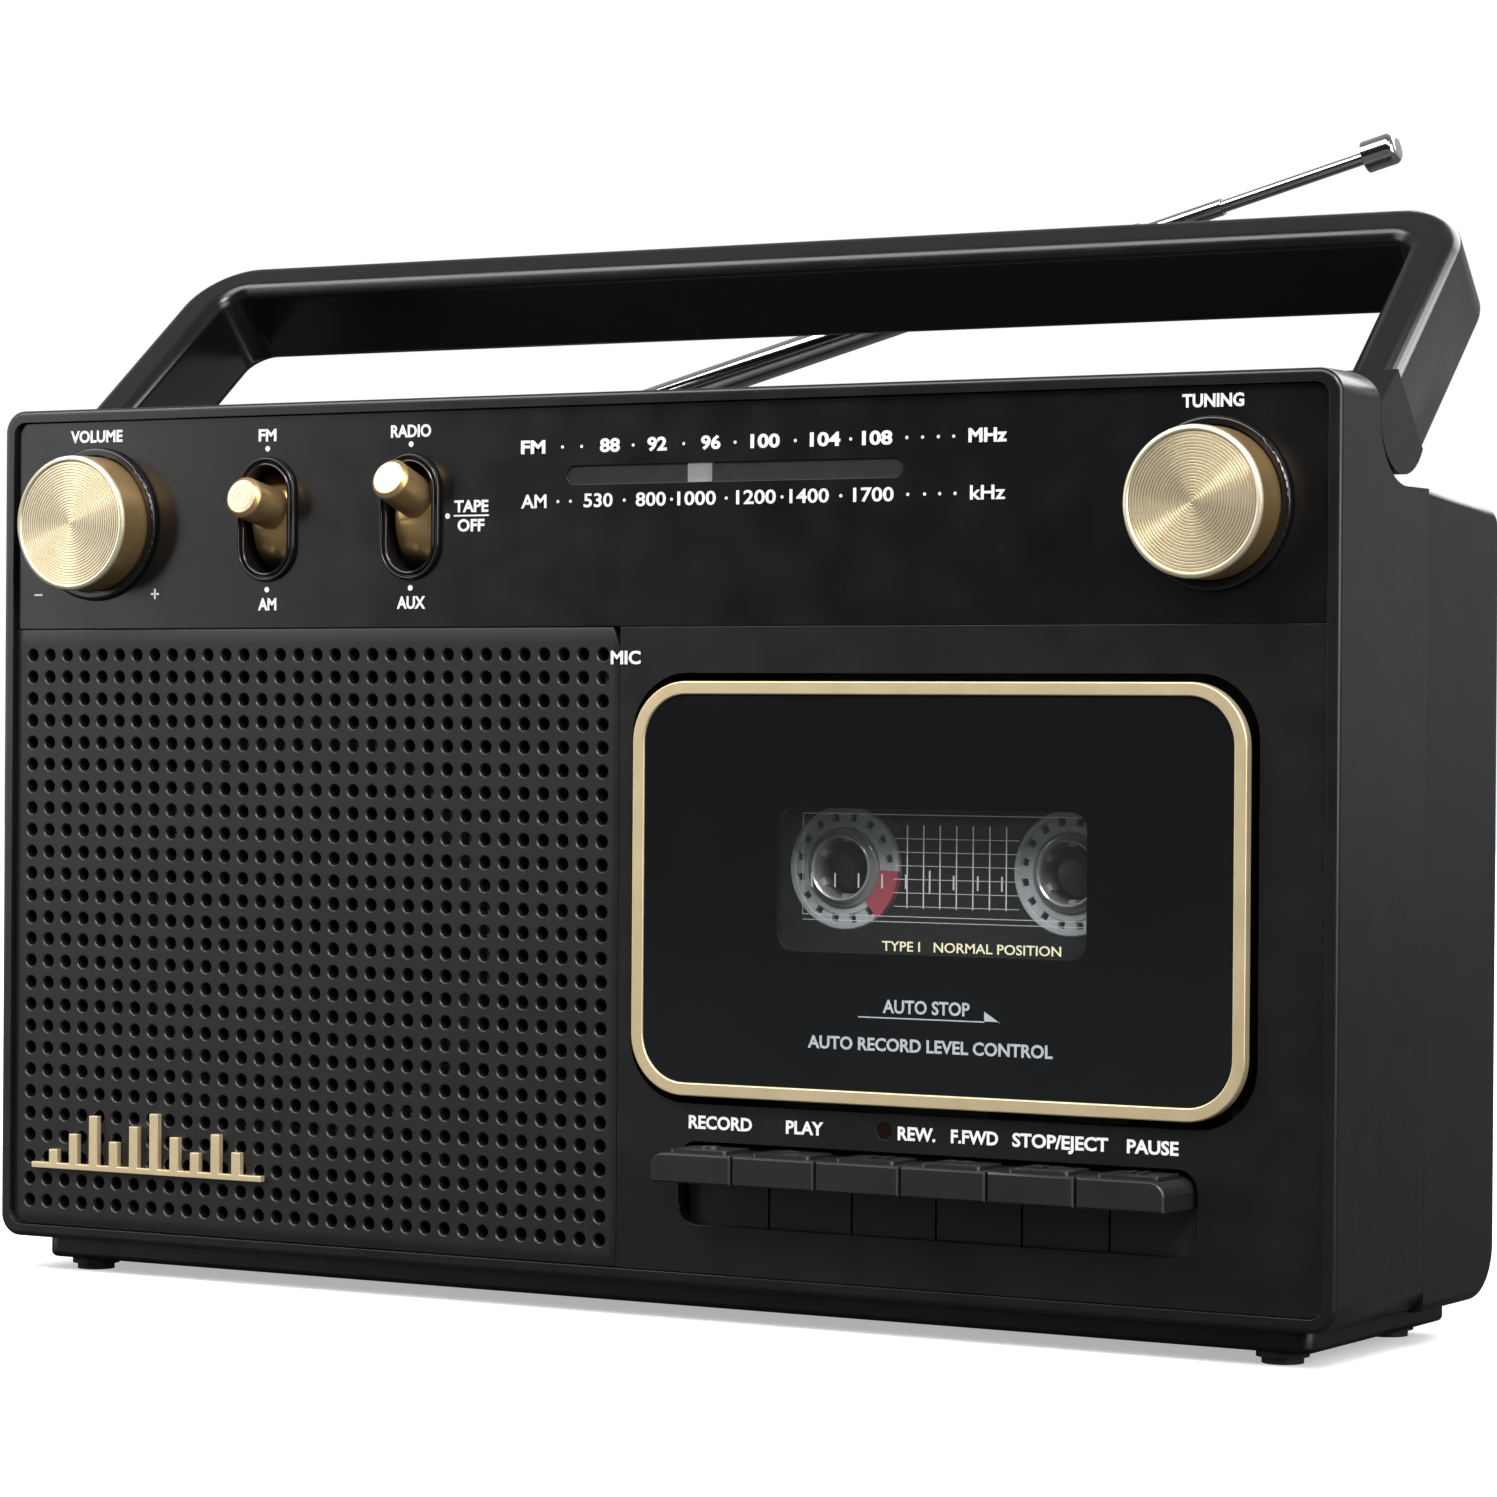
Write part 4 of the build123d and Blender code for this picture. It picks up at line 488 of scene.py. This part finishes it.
def make_knob(node):
    """Spun metal cap: grooved face whose groove walls take a darker gold as painted shade, bright chamfer
    and a smooth darker side.
    """
    low, high = (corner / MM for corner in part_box(node))
    centre = (low + high) / 2
    front = low.y - LIP / MM
    back = high.y - LIP / MM
    radius = (high.x - low.x) / 2
    face_r = radius - CHAMFER_WIDTH
    rings = round(face_r / RING_PITCH)
    pitch = face_r / rings
    face = front + FACE_RECESS
    profile = [(face, 0)]
    for i in range(1, rings + 1):
        r = pitch * i
        profile += [
            (face - 0.006, r - 0.66 * pitch),
            (face, r - 0.32 * pitch),
            (face + RING_DEPTH, r - 0.16 * pitch),
            (face, r),
        ]
    profile += [
        (front + 0.16, face_r + 0.05),
        (front + 0.03, face_r + 0.22),
        (front, face_r + 0.42),
        (front + 0.10, radius - 0.36),
        (front + 0.26, radius - 0.15),
        (front + 0.50, radius - 0.03),
        (front + 0.8, radius),
        (back - 0.3, radius),
        (back, radius - 0.3),
        (back, radius - 2.0),
        (back - 1.0, radius - 2.2),
        (back - 1.0, 0),
    ]
    # the walls of each groove take the darker gold: painted shade
    bands = [FACE, FACE, GROOVE_SHADE, GROOVE_SHADE] * rings + [CHAMFER] * 7 + [SIDE] * 5
    bm = bmesh.new()
    turned(bm, profile, centre, KNOB_SEGMENTS, bands)
    piece = new_piece("spun_" + node, bm, KNOB_FINISHES, BODY_OF[node], 24)
    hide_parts(node)


# ---------------------------------------------------------------- levers and their bezels
TIP_PROUD = 0.04                  # the disc stands just off the lever's end
TIP_SEGMENTS = 64


def tip_lever(node):
    """Polished disc on the end of a lever, with a chamfered rim and a turned centre."""
    hinge = Vector((middle(node).x / MM, LIP / MM + LEVER_PIVOT, LEVER_HEIGHT))
    angle = LEVER_ANGLES[node]
    along = Vector((0, -cos(angle), sin(angle)))
    side = Vector((1, 0, 0))
    across = along.cross(side)
    # height over the disc's face, and radius: a flat disc with two fine raised rings, then its chamfer
    disc = [(0, 0), (0, 1.0), (0.012, 1.06), (0, 1.12), (0, 2.0), (0.012, 2.06), (0, 2.12), (0, 2.72)]
    chamfer = [(-0.02, 2.86), (-0.32, 3.2), (-0.66, 3.50), (-0.95, 3.66)]
    bm = bmesh.new()
    rings = []
    for height, radius in disc + chamfer:
        foot = hinge + along * (LEVER_REACH + TIP_PROUD + height)
        rings.append(ring_of(bm, lambda u, v: (foot + side * u + across * v) * MM, radius, TIP_SEGMENTS))
    join_rings(bm, rings, [0] * (len(disc) - 1) + [1] * len(chamfer))
    new_piece("tip_" + node, bm, ("bright_gold", "knob_chamfer"), BODY_OF[node])


def stadium(x, z, half_width, half_height, steps=14):
    """Points round an upright stadium."""
    rise = half_height - half_width
    points = []
    for cz, start in ((rise, 0), (-rise, 180)):
        for i in range(steps + 1):
            a = radians(start + 180 * i / steps)
            points.append((x + half_width * cos(a), z + cz + half_width * sin(a)))
    return points


def make_bezels():
    """Upright slots with two fine raised rims and a sunk band between them."""
    low, high = (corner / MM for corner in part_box("lever_bezels"))
    front, back = low.y - LIP / MM, high.y - LIP / MM
    half_width = BAND.x - low.x
    half_height = (high.z - low.z) / 2
    z = (low.z + high.z) / 2
    # inset from the outer edge, and depth behind the front of the rims
    outer_rim = [(0.0, 0.55), (0.06, 0.25), (0.20, 0.06), (0.36, 0.0), (0.50, 0.06), (0.60, 0.24)]
    sunk_band = [(0.68, 0.46), (0.86, 0.52), (0.96, 0.34)]
    inner_rim = [(1.08, 0.12), (1.28, 0.02), (1.48, 0.12), (1.60, 0.36), (1.64, 0.7)]
    rear = back - front
    profile = [(0.0, rear), *outer_rim, *sunk_band, *inner_rim, (1.64, rear), (0.0, rear)]
    bm = bmesh.new()
    for x in (BAND.x, FUNCTION.x):
        loops = []
        for inset, depth in profile:
            outline = stadium(x, z, half_width - inset, half_height - inset)
            loops.append([bm.verts.new(spot(px, front + depth, pz)) for px, pz in outline])
        join_rings(bm, loops)
    bmesh.ops.remove_doubles(bm, verts=bm.verts, dist=1e-7)
    piece = new_piece("rimmed_bezels", bm, "rim_gloss", "cabinet", 50)
    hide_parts("lever_bezels")


# ---------------------------------------------------------------- loudspeaker grille
GRILLE_PITCH = 4.0
HOLE_COLUMNS = 32
HOLE_ROWS = 26
HOLE_R = 1.12
HOLE_RIM_R = 1.34
HOLE_LEAD_IN = 0.2                # depth of the lead-in from HOLE_RIM_R to HOLE_R
HOLE_STEPS = 6                    # points on each side of a hole's square cell
FIELD_SHIFT_X = 0.2               # the field of holes from the middle of the panel
FIELD_SHIFT_Z = -0.19
GRILLE_EDGE = 0.28                # round along the panel's front edges


def cell_ring(bm, x, z, radius, depth):
    """Ring of points round a hole, in the same order as the cell's border."""
    points = []
    for i in range(4 * HOLE_STEPS):
        a = radians(225 + 90 * i / HOLE_STEPS)
        points.append(bm.verts.new(spot(x + radius * cos(a), depth, z + radius * sin(a))))
    return points


def cell_border(x, z):
    """Points round a cell's square border, counter-clockwise from its lower left corner."""
    half = GRILLE_PITCH / 2
    corners = [(x - half, z - half), (x + half, z - half), (x + half, z + half), (x - half, z + half)]
    points = []
    for (ax, az), (bx, bz) in zip(corners, corners[1:] + corners[:1]):
        for i in range(HOLE_STEPS):
            t = i / HOLE_STEPS
            points.append((ax + (bx - ax) * t, az + (bz - az) * t))
    return points


def make_grille():
    """Panel with rows of holes, each with a small lead-in round its rim."""
    low, high = (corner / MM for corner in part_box("speaker_grille"))
    front, back = low.y - LIP / MM, high.y - LIP / MM
    first_x = (low.x + high.x) / 2 - GRILLE_PITCH * (HOLE_COLUMNS - 1) / 2 + FIELD_SHIFT_X
    first_z = (low.z + high.z) / 2 - GRILLE_PITCH * (HOLE_ROWS - 1) / 2 + FIELD_SHIFT_Z
    bm = bmesh.new()
    shared = {}

    def corner_vert(x, z, depth):
        key = (round(x, 4), round(z, 4), depth)
        if key not in shared:
            shared[key] = bm.verts.new(spot(x, depth, z))
        return shared[key]

    for column in range(HOLE_COLUMNS):
        for row in range(HOLE_ROWS):
            x, z = first_x + column * GRILLE_PITCH, first_z + row * GRILLE_PITCH
            border = cell_border(x, z)
            near = [corner_vert(px, pz, front) for px, pz in border]
            far = [corner_vert(px, pz, back) for px, pz in border]
            loops = [near]
            for radius, depth in ((HOLE_RIM_R, front), (HOLE_R, front + HOLE_LEAD_IN), (HOLE_R, back)):
                loops.append(cell_ring(bm, x, z, radius, depth))
            loops.append(far)
            join_rings(bm, loops)

    # plain margin out to the edges, which have a small round
    x0, x1 = first_x - GRILLE_PITCH / 2, first_x + GRILLE_PITCH * (HOLE_COLUMNS - 0.5)
    z0, z1 = first_z - GRILLE_PITCH / 2, first_z + GRILLE_PITCH * (HOLE_ROWS - 0.5)
    step = GRILLE_PITCH / HOLE_STEPS
    xs = [x0 + step * i for i in range(HOLE_COLUMNS * HOLE_STEPS + 1)]
    zs = [z0 + step * i for i in range(HOLE_ROWS * HOLE_STEPS + 1)]
    rim = [(x, z0) for x in xs[:-1]] + [(x1, z) for z in zs[:-1]]
    rim += [(x, z1) for x in reversed(xs[1:])] + [(x0, z) for z in reversed(zs[1:])]

    def pushed(x, z, inset):
        """The rim point moved out to the panel's edge, less an inset."""
        x = low.x + inset if x == x0 else high.x - inset if x == x1 else x
        z = low.z + inset if z == z0 else high.z - inset if z == z1 else z
        return x, z

    edge = GRILLE_EDGE
    halfway = 0.3 * edge
    loops = [[corner_vert(x, z, front) for x, z in rim]]
    for inset, depth in ((edge, front), (halfway, front + halfway), (0, front + edge), (0, back)):
        outline = [pushed(x, z, inset) for x, z in rim]
        loops.append([bm.verts.new(spot(px, depth, pz)) for px, pz in outline])
    loops.append([corner_vert(x, z, back) for x, z in rim])
    join_rings(bm, loops[::-1])
    piece = new_piece("perforated_grille", bm, "grille_black", "cabinet", 25)
    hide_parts("speaker_grille")


# ---------------------------------------------------------------- lettering and marks
LEGEND_THICK = 0.03
DOT_SIDES = 20


def words(text, bold):
    """Outline mesh of a legend in the built-in face."""
    curve = bpy.data.curves.new("legend", "FONT")
    curve.body = text
    curve.size = 1.0
    curve.offset = bold
    curve.extrude = 0.01
    curve.resolution_u = 3
    holder = bpy.data.objects.new("legend", curve)
    mesh = bpy.data.meshes.new_from_object(holder)
    bpy.data.objects.remove(holder)
    bpy.data.curves.remove(curve)
    return mesh


def place_words(bm, text, left, right, base, top, depth, bold=0.030):
    """Adds a legend that fills left to right and base to top, on the plane at depth."""
    mesh = words(text, bold)
    xs = [v.co.x for v in mesh.vertices]
    flat = words("H", bold)
    height = max(v.co.y for v in flat.vertices)
    foot = min(v.co.y for v in flat.vertices)
    bpy.data.meshes.remove(flat)
    low, wide = min(xs), max(xs) - min(xs)
    for v in mesh.vertices:
        x = left + (v.co.x - low) / wide * (right - left)
        z = base + (v.co.y - foot) / (height - foot) * (top - base)
        front = depth - (LEGEND_THICK if v.co.z > 0 else 0)
        v.co = spot(x, front, z)
    bm.from_mesh(mesh)
    bpy.data.meshes.remove(mesh)


def bar(bm, left, right, low, high, depth):
    """Adds a printed bar."""
    slab(bm, left, right, low, high, depth - LEGEND_THICK, depth)


def dot(bm, x, z, radius, depth):
    """Adds a small printed disc."""
    turn = [2 * pi * i / DOT_SIDES for i in range(DOT_SIDES)]
    outline = [(x + radius * cos(a), z + radius * sin(a)) for a in turn]
    prism(bm, outline, depth - LEGEND_THICK, depth)


def panel_legends():
    """Words and dots round the knobs and levers."""
    face = PANEL_DEPTH
    bm = bmesh.new()
    for text, left, right, base, top in (
        ("VOLUME", VOLUME.x - 6.1, VOLUME.x + 5.8, 151.7, 153.9),
        ("TUNING", TUNING.x - 5.5, TUNING.x + 5.3, 152.1, 154.25),
        ("FM", BAND.x - 2.0, BAND.x + 1.9, 151.0, 153.2),
        ("AM", BAND.x - 1.9, BAND.x + 2.1, 120.9, 123.1),
        ("RADIO", FUNCTION.x - 4.3, FUNCTION.x + 4.2, 151.0, 153.2),
        ("AUX", FUNCTION.x - 2.8, FUNCTION.x + 3.2, 121.0, 123.2),
        ("TAPE", -34.2, -27.1, 137.7, 139.8),
        ("OFF", -33.5, -27.9, 134.35, 136.5),
    ):
        place_words(bm, text, left, right, base, top, face)
    # minus and plus under the volume knob, and the line between the two words
    bar(bm, -127.1, -125.3, 123.85, 124.2, face)
    bar(bm, -100.3, -98.5, 123.85, 124.2, face)
    bar(bm, -99.57, -99.23, 123.1, 124.95, face)
    bar(bm, -34.3, -27.0, 136.98, 137.25, face)
    for x, z in (
        (BAND.x, 149.7),
        (BAND.x, 124.6),
        (FUNCTION.x, 149.8),
        (FUNCTION.x, 124.65),
        (FUNCTION.x + 7.8, LEVER_HEIGHT),
    ):
        dot(bm, x, z, 0.5, face)
    new_piece("panel_legends", bm, "legend_white", "cabinet")


def dial_scale():
    """Both rows of the tuning scale."""
    face = PANEL_DEPTH
    # each figure with its left and right ends, and the middles of the dots between figures
    fm_figures = (
        ("FM", -20.4, -15.4), ("88", -4.3, -0.25), ("92", 5.25, 9.15), ("96", 15.9, 19.75),
        ("100", 25.6, 31.3), ("104", 37.1, 42.95), ("108", 47.05, 52.8), ("MHz", 67.0, 74.1),
    )
    fm_dots = (-11.9, -8.0, 2.4, 12.5, 22.6, 34.3, 44.9, 55.5, 58.45, 61.4, 64.25)
    am_figures = (
        ("AM", -20.3, -15.1), ("530", -7.5, -1.65), ("800", 3.0, 9.0), ("1000", 11.3, 18.9),
        ("1200", 22.9, 30.6), ("1400", 33.25, 40.8), ("1700", 45.45, 53.1), ("kHz", 67.35, 73.85),
    )
    am_dots = (-12.75, -10.2, 0.7, 10.15, 20.95, 31.8, 43.1, 55.75, 58.9, 61.75, 64.6)
    bm = bmesh.new()
    # each row: base and top of its figures, their weight, the figures and the dots
    for base, top, bold, figures, dots in (
        (147.5, 149.85, 0.034, fm_figures, fm_dots),
        (138.15, 140.5, 0.018, am_figures, am_dots),
    ):
        for text, left, right in figures:
            place_words(bm, text, left, right, base, top, face, bold)
        for x in dots:
            dot(bm, x, (base + top) / 2 - 0.1, 0.28, face)
    place_words(bm, "MIC", -1.8, 4.2, 111.3, 113.6, face)
    new_piece("dial_scale", bm, "legend_white", "cabinet")


def key_legends():
    """Words above the keys."""
    bm = bmesh.new()
    for text, left, right in (
        ("RECORD", 14.45, 26.85), ("PLAY", 33.45, 40.65), ("REW.", 54.75, 61.8),
        ("F.FWD", 64.7, 73.4), ("STOP/EJECT", 76.0, 93.35), ("PAUSE", 96.7, 105.85),
    ):
        place_words(bm, text, left, right, 32.95, 35.2, PANEL_DEPTH)
    new_piece("key_legends", bm, "legend_white", "cabinet")


def door_legends():
    """Words and arrow on the cassette door."""
    face = DOOR_DEPTH
    bm = bmesh.new()
    place_words(bm, "AUTO STOP", 52.7, 68.9, 53.9, 56.1, face, 0.022)
    place_words(bm, "AUTO RECORD LEVEL CONTROL", 38.5, 84.1, 47.6, 49.75, face, 0.026)
    bar(bm, 48.1, 74.4, 53.0, 53.2, face)
    prism(bm, [(71.6, 53.0), (74.5, 53.0), (71.6, 54.8)], face - LEGEND_THICK, face)
    new_piece("door_legends", bm, "legend_blue", "cassette_door")
    bm = bmesh.new()
    place_words(bm, "TYPE I   NORMAL POSITION", 52.5, 85.5, 64.15, 65.75, face, 0.010)
    new_piece("tape_type_legend", bm, "legend_yellow", "cassette_door")


# ---------------------------------------------------------------- cassette behind the window
PRINT_PROUD = 0.35                # the print lies this far in front of the hubs


def cassette_print():
    """White grid and ticks printed on the front of the cassette, in an ink that glows a little: painted
    light.
    """
    face = (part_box("cassette_hub_left")[0].y - LIP) / MM - PRINT_PROUD
    left, right, low, high = 33.0, 89.2, 69.5, 86.4
    bm = bmesh.new()
    # grid of the window
    for i in range(7):
        x = 52.95 + 3.09 * i
        bar(bm, x - 0.11, x + 0.11, 70.9, 84.7, face)
    for i in range(6):
        z = 71.2 + 2.25 * i
        bar(bm, 50.4, 73.9, z - 0.05, z + 0.05, face)
    # ticks, of which the sixth is longer
    for i in range(9):
        x = 34.7 + 4.5 * i
        extra = 0.75 if i == 5 else 0
        bar(bm, x - 0.15, x + 0.15, 74.1 - extra, 76.5 + extra, face)
    # frame, with a second line under it
    for z in (low, 68.6, high):
        bar(bm, left, right, z - 0.06, z + 0.06, face)
    for x in (left, right):
        bar(bm, x - 0.05, x + 0.05, low, high, face)
    new_piece("cassette_print", bm, "legend_grid", "cassette_door")


def sector(bm, centre, inner, outer, start, end, front, back, steps=8):
    """Adds a piece of a ring between two angles in degrees."""
    turn = [radians(start + (end - start) * i / steps) for i in range(steps + 1)]
    outline = [(centre.x + outer * cos(a), centre.z + outer * sin(a)) for a in turn]
    outline += [(centre.x + inner * cos(a), centre.z + inner * sin(a)) for a in reversed(turn)]
    prism(bm, outline, front, back)


FLANGE_DEPTH = 1.4                # the tape hub's flange behind the front of its boss
FLANGE_THICK = 1.2
NOTCHES = 16
DRIVE_TEETH = 6


def make_hub(side):
    """Tape hub: pale notched flange round a bright bored boss with driving teeth."""
    node = "cassette_hub_" + side
    low, high = (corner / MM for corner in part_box(node))
    centre = (low + high) / 2
    front = low.y - LIP / MM
    flange = front + FLANGE_DEPTH
    back = flange + FLANGE_THICK
    outer_ring = [
        (flange + 0.4, 9.3), (flange, 9.45), (flange, 10.2), (flange + 0.2, 10.4), (back - 0.1, 10.4),
        (back, 10.3), (back, 9.3), (flange + 0.4, 9.3),
    ]
    inner_ring = [
        (flange + 0.4, 6.7), (flange, 6.9), (flange, 7.8), (flange + 0.4, 7.95), (back, 7.95),
        (back, 6.7), (flange + 0.4, 6.7),
    ]
    bm = bmesh.new()
    turned(bm, outer_ring, centre)
    turned(bm, inner_ring, centre)
    for i in range(NOTCHES):
        a = 360 / NOTCHES * i
        sector(bm, centre, 7.85, 9.4, a - 7, a + 7, flange + 0.15, back - 0.05, 3)
    piece = new_piece("tape_hub_" + side, bm, "hub_plastic", BODY_OF[node])
    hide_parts(node)

    mouth = [(0.7, 5.0), (0.2, 5.15), (0, 5.4), (0.15, 5.65)]
    shoulders = [(0.9, 5.75), (1.0, 6.0), (0.8, 6.25), (0.95, 6.5), (1.7, 6.7)]
    rear = [(7.9, 6.7), (8.1, 6.5), (8.1, 5.0), (0.7, 5.0)]
    bm = bmesh.new()
    turned(bm, [(front + depth, radius) for depth, radius in mouth + shoulders + rear], centre)
    for i in range(DRIVE_TEETH):
        a = 360 / DRIVE_TEETH * i + 90
        sector(bm, centre, 4.35, 5.1, a - 7.5, a + 7.5, front + 2.0, front + 5.8, 2)
    boss = new_piece("hub_boss_" + side, bm, "hub_boss", BODY_OF[node])
    boss.parent = piece.parent
    if side == "left":
        bm = bmesh.new()
        sector(bm, centre, 6.95, 10.42, -52, -2, flange - 0.15, back + 0.15, 12)
        new_piece("tape_clamp", bm, "red_clamp", BODY_OF[node])


# ---------------------------------------------------------------- studio
def link_object(name, data):
    """Puts an object of the studio into the scene."""
    holder = bpy.data.objects.new(name, data)
    bpy.context.scene.collection.objects.link(holder)
    return holder


def make_camera():
    """Camera at the photograph's place: lens, position and the three directions of its view."""
    lens = bpy.data.cameras.new("camera")
    camera = link_object("camera", lens)
    lens.lens = 116.70
    lens.sensor_width = 36.0
    lens.clip_start = 0.05
    lens.clip_end = 50
    right = Vector((0.8596387, 0.5108523, 0.0071583))
    down = Vector((0.0086824, -0.0005986, -0.9999621))
    forward = Vector((-0.5108287, 0.8596683, -0.0049500))
    turn = Matrix((right, -down, -forward)).transposed().to_4x4()
    camera.matrix_world = Matrix.Translation((0.44119, -0.73718, 0.10120)) @ turn
    bpy.context.scene.camera = camera


# Name, place, what it points at, width, height and watts
SOFTBOXES = (
    ("top_light", (-0.50, -0.90, 1.30), (-0.1, 0, 0.08), 1.8, 0.70, 26),
    ("left_light", (-1.35, -0.93, 0.40), (0, 0, 0.10), 0.95, 1.4, 11),
    ("front_light", (0.95, -1.15, 1.35), (0, 0, 0.08), 0.7, 0.7, 33),
    ("right_light", (1.35, -0.45, 0.5), (0, 0, 0.08), 0.9, 1.0, 13),
    ("back_light", (0.3, 1.3, 1.1), (0, 0, 0.1), 1.6, 1.0, 26),
)


def make_lights():
    """Five soft rectangular lights."""
    for name, place, target, width, height, power in SOFTBOXES:
        lamp = bpy.data.lights.new(name, "AREA")
        lamp.shape = "RECTANGLE"
        lamp.size = width
        lamp.size_y = height
        lamp.energy = power
        holder = link_object(name, lamp)
        holder.location = place
        holder.rotation_mode = "QUATERNION"
        holder.rotation_quaternion = (Vector(target) - Vector(place)).to_track_quat("-Z", "Y")


def make_world():
    """White backdrop, over surroundings that light the object faintly from the front, more from behind."""
    world = bpy.data.worlds.new("studio")
    bpy.context.scene.world = world
    world.use_nodes = True
    tree = world.node_tree
    tree.nodes.clear()
    output = tree.nodes.new("ShaderNodeOutputWorld")
    mix = tree.nodes.new("ShaderNodeMixShader")
    around = tree.nodes.new("ShaderNodeBackground")
    backdrop = tree.nodes.new("ShaderNodeBackground")
    backdrop.inputs["Color"].default_value = (1, 1, 1, 1)
    backdrop.inputs["Strength"].default_value = 1.0
    path = tree.nodes.new("ShaderNodeLightPath")
    direction = tree.nodes.new("ShaderNodeTexCoord")
    parts = tree.nodes.new("ShaderNodeSeparateXYZ")
    ramp = tree.nodes.new("ShaderNodeMapRange")
    ramp.inputs["From Min"].default_value = -0.9
    ramp.inputs["From Max"].default_value = 0.6
    ramp.inputs["To Min"].default_value = 0.02
    ramp.inputs["To Max"].default_value = 0.48
    tree.links.new(direction.outputs["Generated"], parts.inputs["Vector"])
    tree.links.new(parts.outputs["Y"], ramp.inputs["Value"])
    tree.links.new(ramp.outputs["Result"], around.inputs["Strength"])
    tree.links.new(path.outputs["Is Camera Ray"], mix.inputs["Fac"])
    tree.links.new(around.outputs["Background"], mix.inputs[1])
    tree.links.new(backdrop.outputs["Background"], mix.inputs[2])
    tree.links.new(mix.outputs["Shader"], output.inputs["Surface"])


FLOOR_HALF = 3.0
GLOW_NEAR, GLOW_FAR = 0.42, 1.05  # the floor's glow round the object and out towards the backdrop
NEAR, FAR = 0.35, 1.1             # distances from the middle of the floor where those two hold


def make_floor():
    """Pale paper, lit from within so that it runs into the backdrop. The object sees it dimmer than
    the camera does, as over a sheet lit from below."""
    paper = Finish("studio_paper")
    paper.tint(paper.between(paper.noise(60.0, 3.0), 0, 1), (0.76, 0.76, 0.76), (0.79, 0.79, 0.79))
    paper.roughness(paper.noise(5.0, 2.0), 0.85, 0.95)
    paper.shader.inputs["Emission Color"].default_value = (1, 1, 1, 1)
    away = paper.add("ShaderNodeVectorMath", operation="LENGTH")
    paper.join(paper.coordinates, away.inputs[0])
    glow = paper.between(away.outputs["Value"], GLOW_NEAR, GLOW_FAR, NEAR, FAR)
    paper.join(glow, paper.shader.inputs["Emission Strength"])
    dim = paper.add("ShaderNodeBsdfDiffuse")
    dim.inputs["Color"].default_value = (0.06, 0.06, 0.06, 1)
    seen = paper.add("ShaderNodeLightPath")
    choice = paper.add("ShaderNodeMixShader")
    paper.join(seen.outputs["Is Camera Ray"], choice.inputs["Fac"])
    paper.join(dim.outputs["BSDF"], choice.inputs[1])
    paper.join(paper.shader.outputs["BSDF"], choice.inputs[2])
    paper.join(choice.outputs["Shader"], paper.tree.nodes["Material Output"].inputs["Surface"])

    mesh = bpy.data.meshes.new("floor")
    corners = [(-FLOOR_HALF, -FLOOR_HALF, 0), (FLOOR_HALF, -FLOOR_HALF, 0)]
    corners += [(FLOOR_HALF, FLOOR_HALF, 0), (-FLOOR_HALF, FLOOR_HALF, 0)]
    mesh.from_pydata(corners, [], [(0, 1, 2, 3)])
    floor = link_object("floor", mesh)
    mesh.materials.append(paper.material)


# ---------------------------------------------------------------- assembly
dress_nodes()
round_edges()
make_knob("volume_knob")
make_knob("tuning_knob")
tip_lever("band_lever")
tip_lever("function_lever")
make_bezels()
make_grille()
panel_legends()
dial_scale()
key_legends()
door_legends()
cassette_print()
make_hub("left")
make_hub("right")
make_camera()
make_lights()
make_world()
make_floor()
bpy.context.scene.view_settings.view_transform = "Standard"
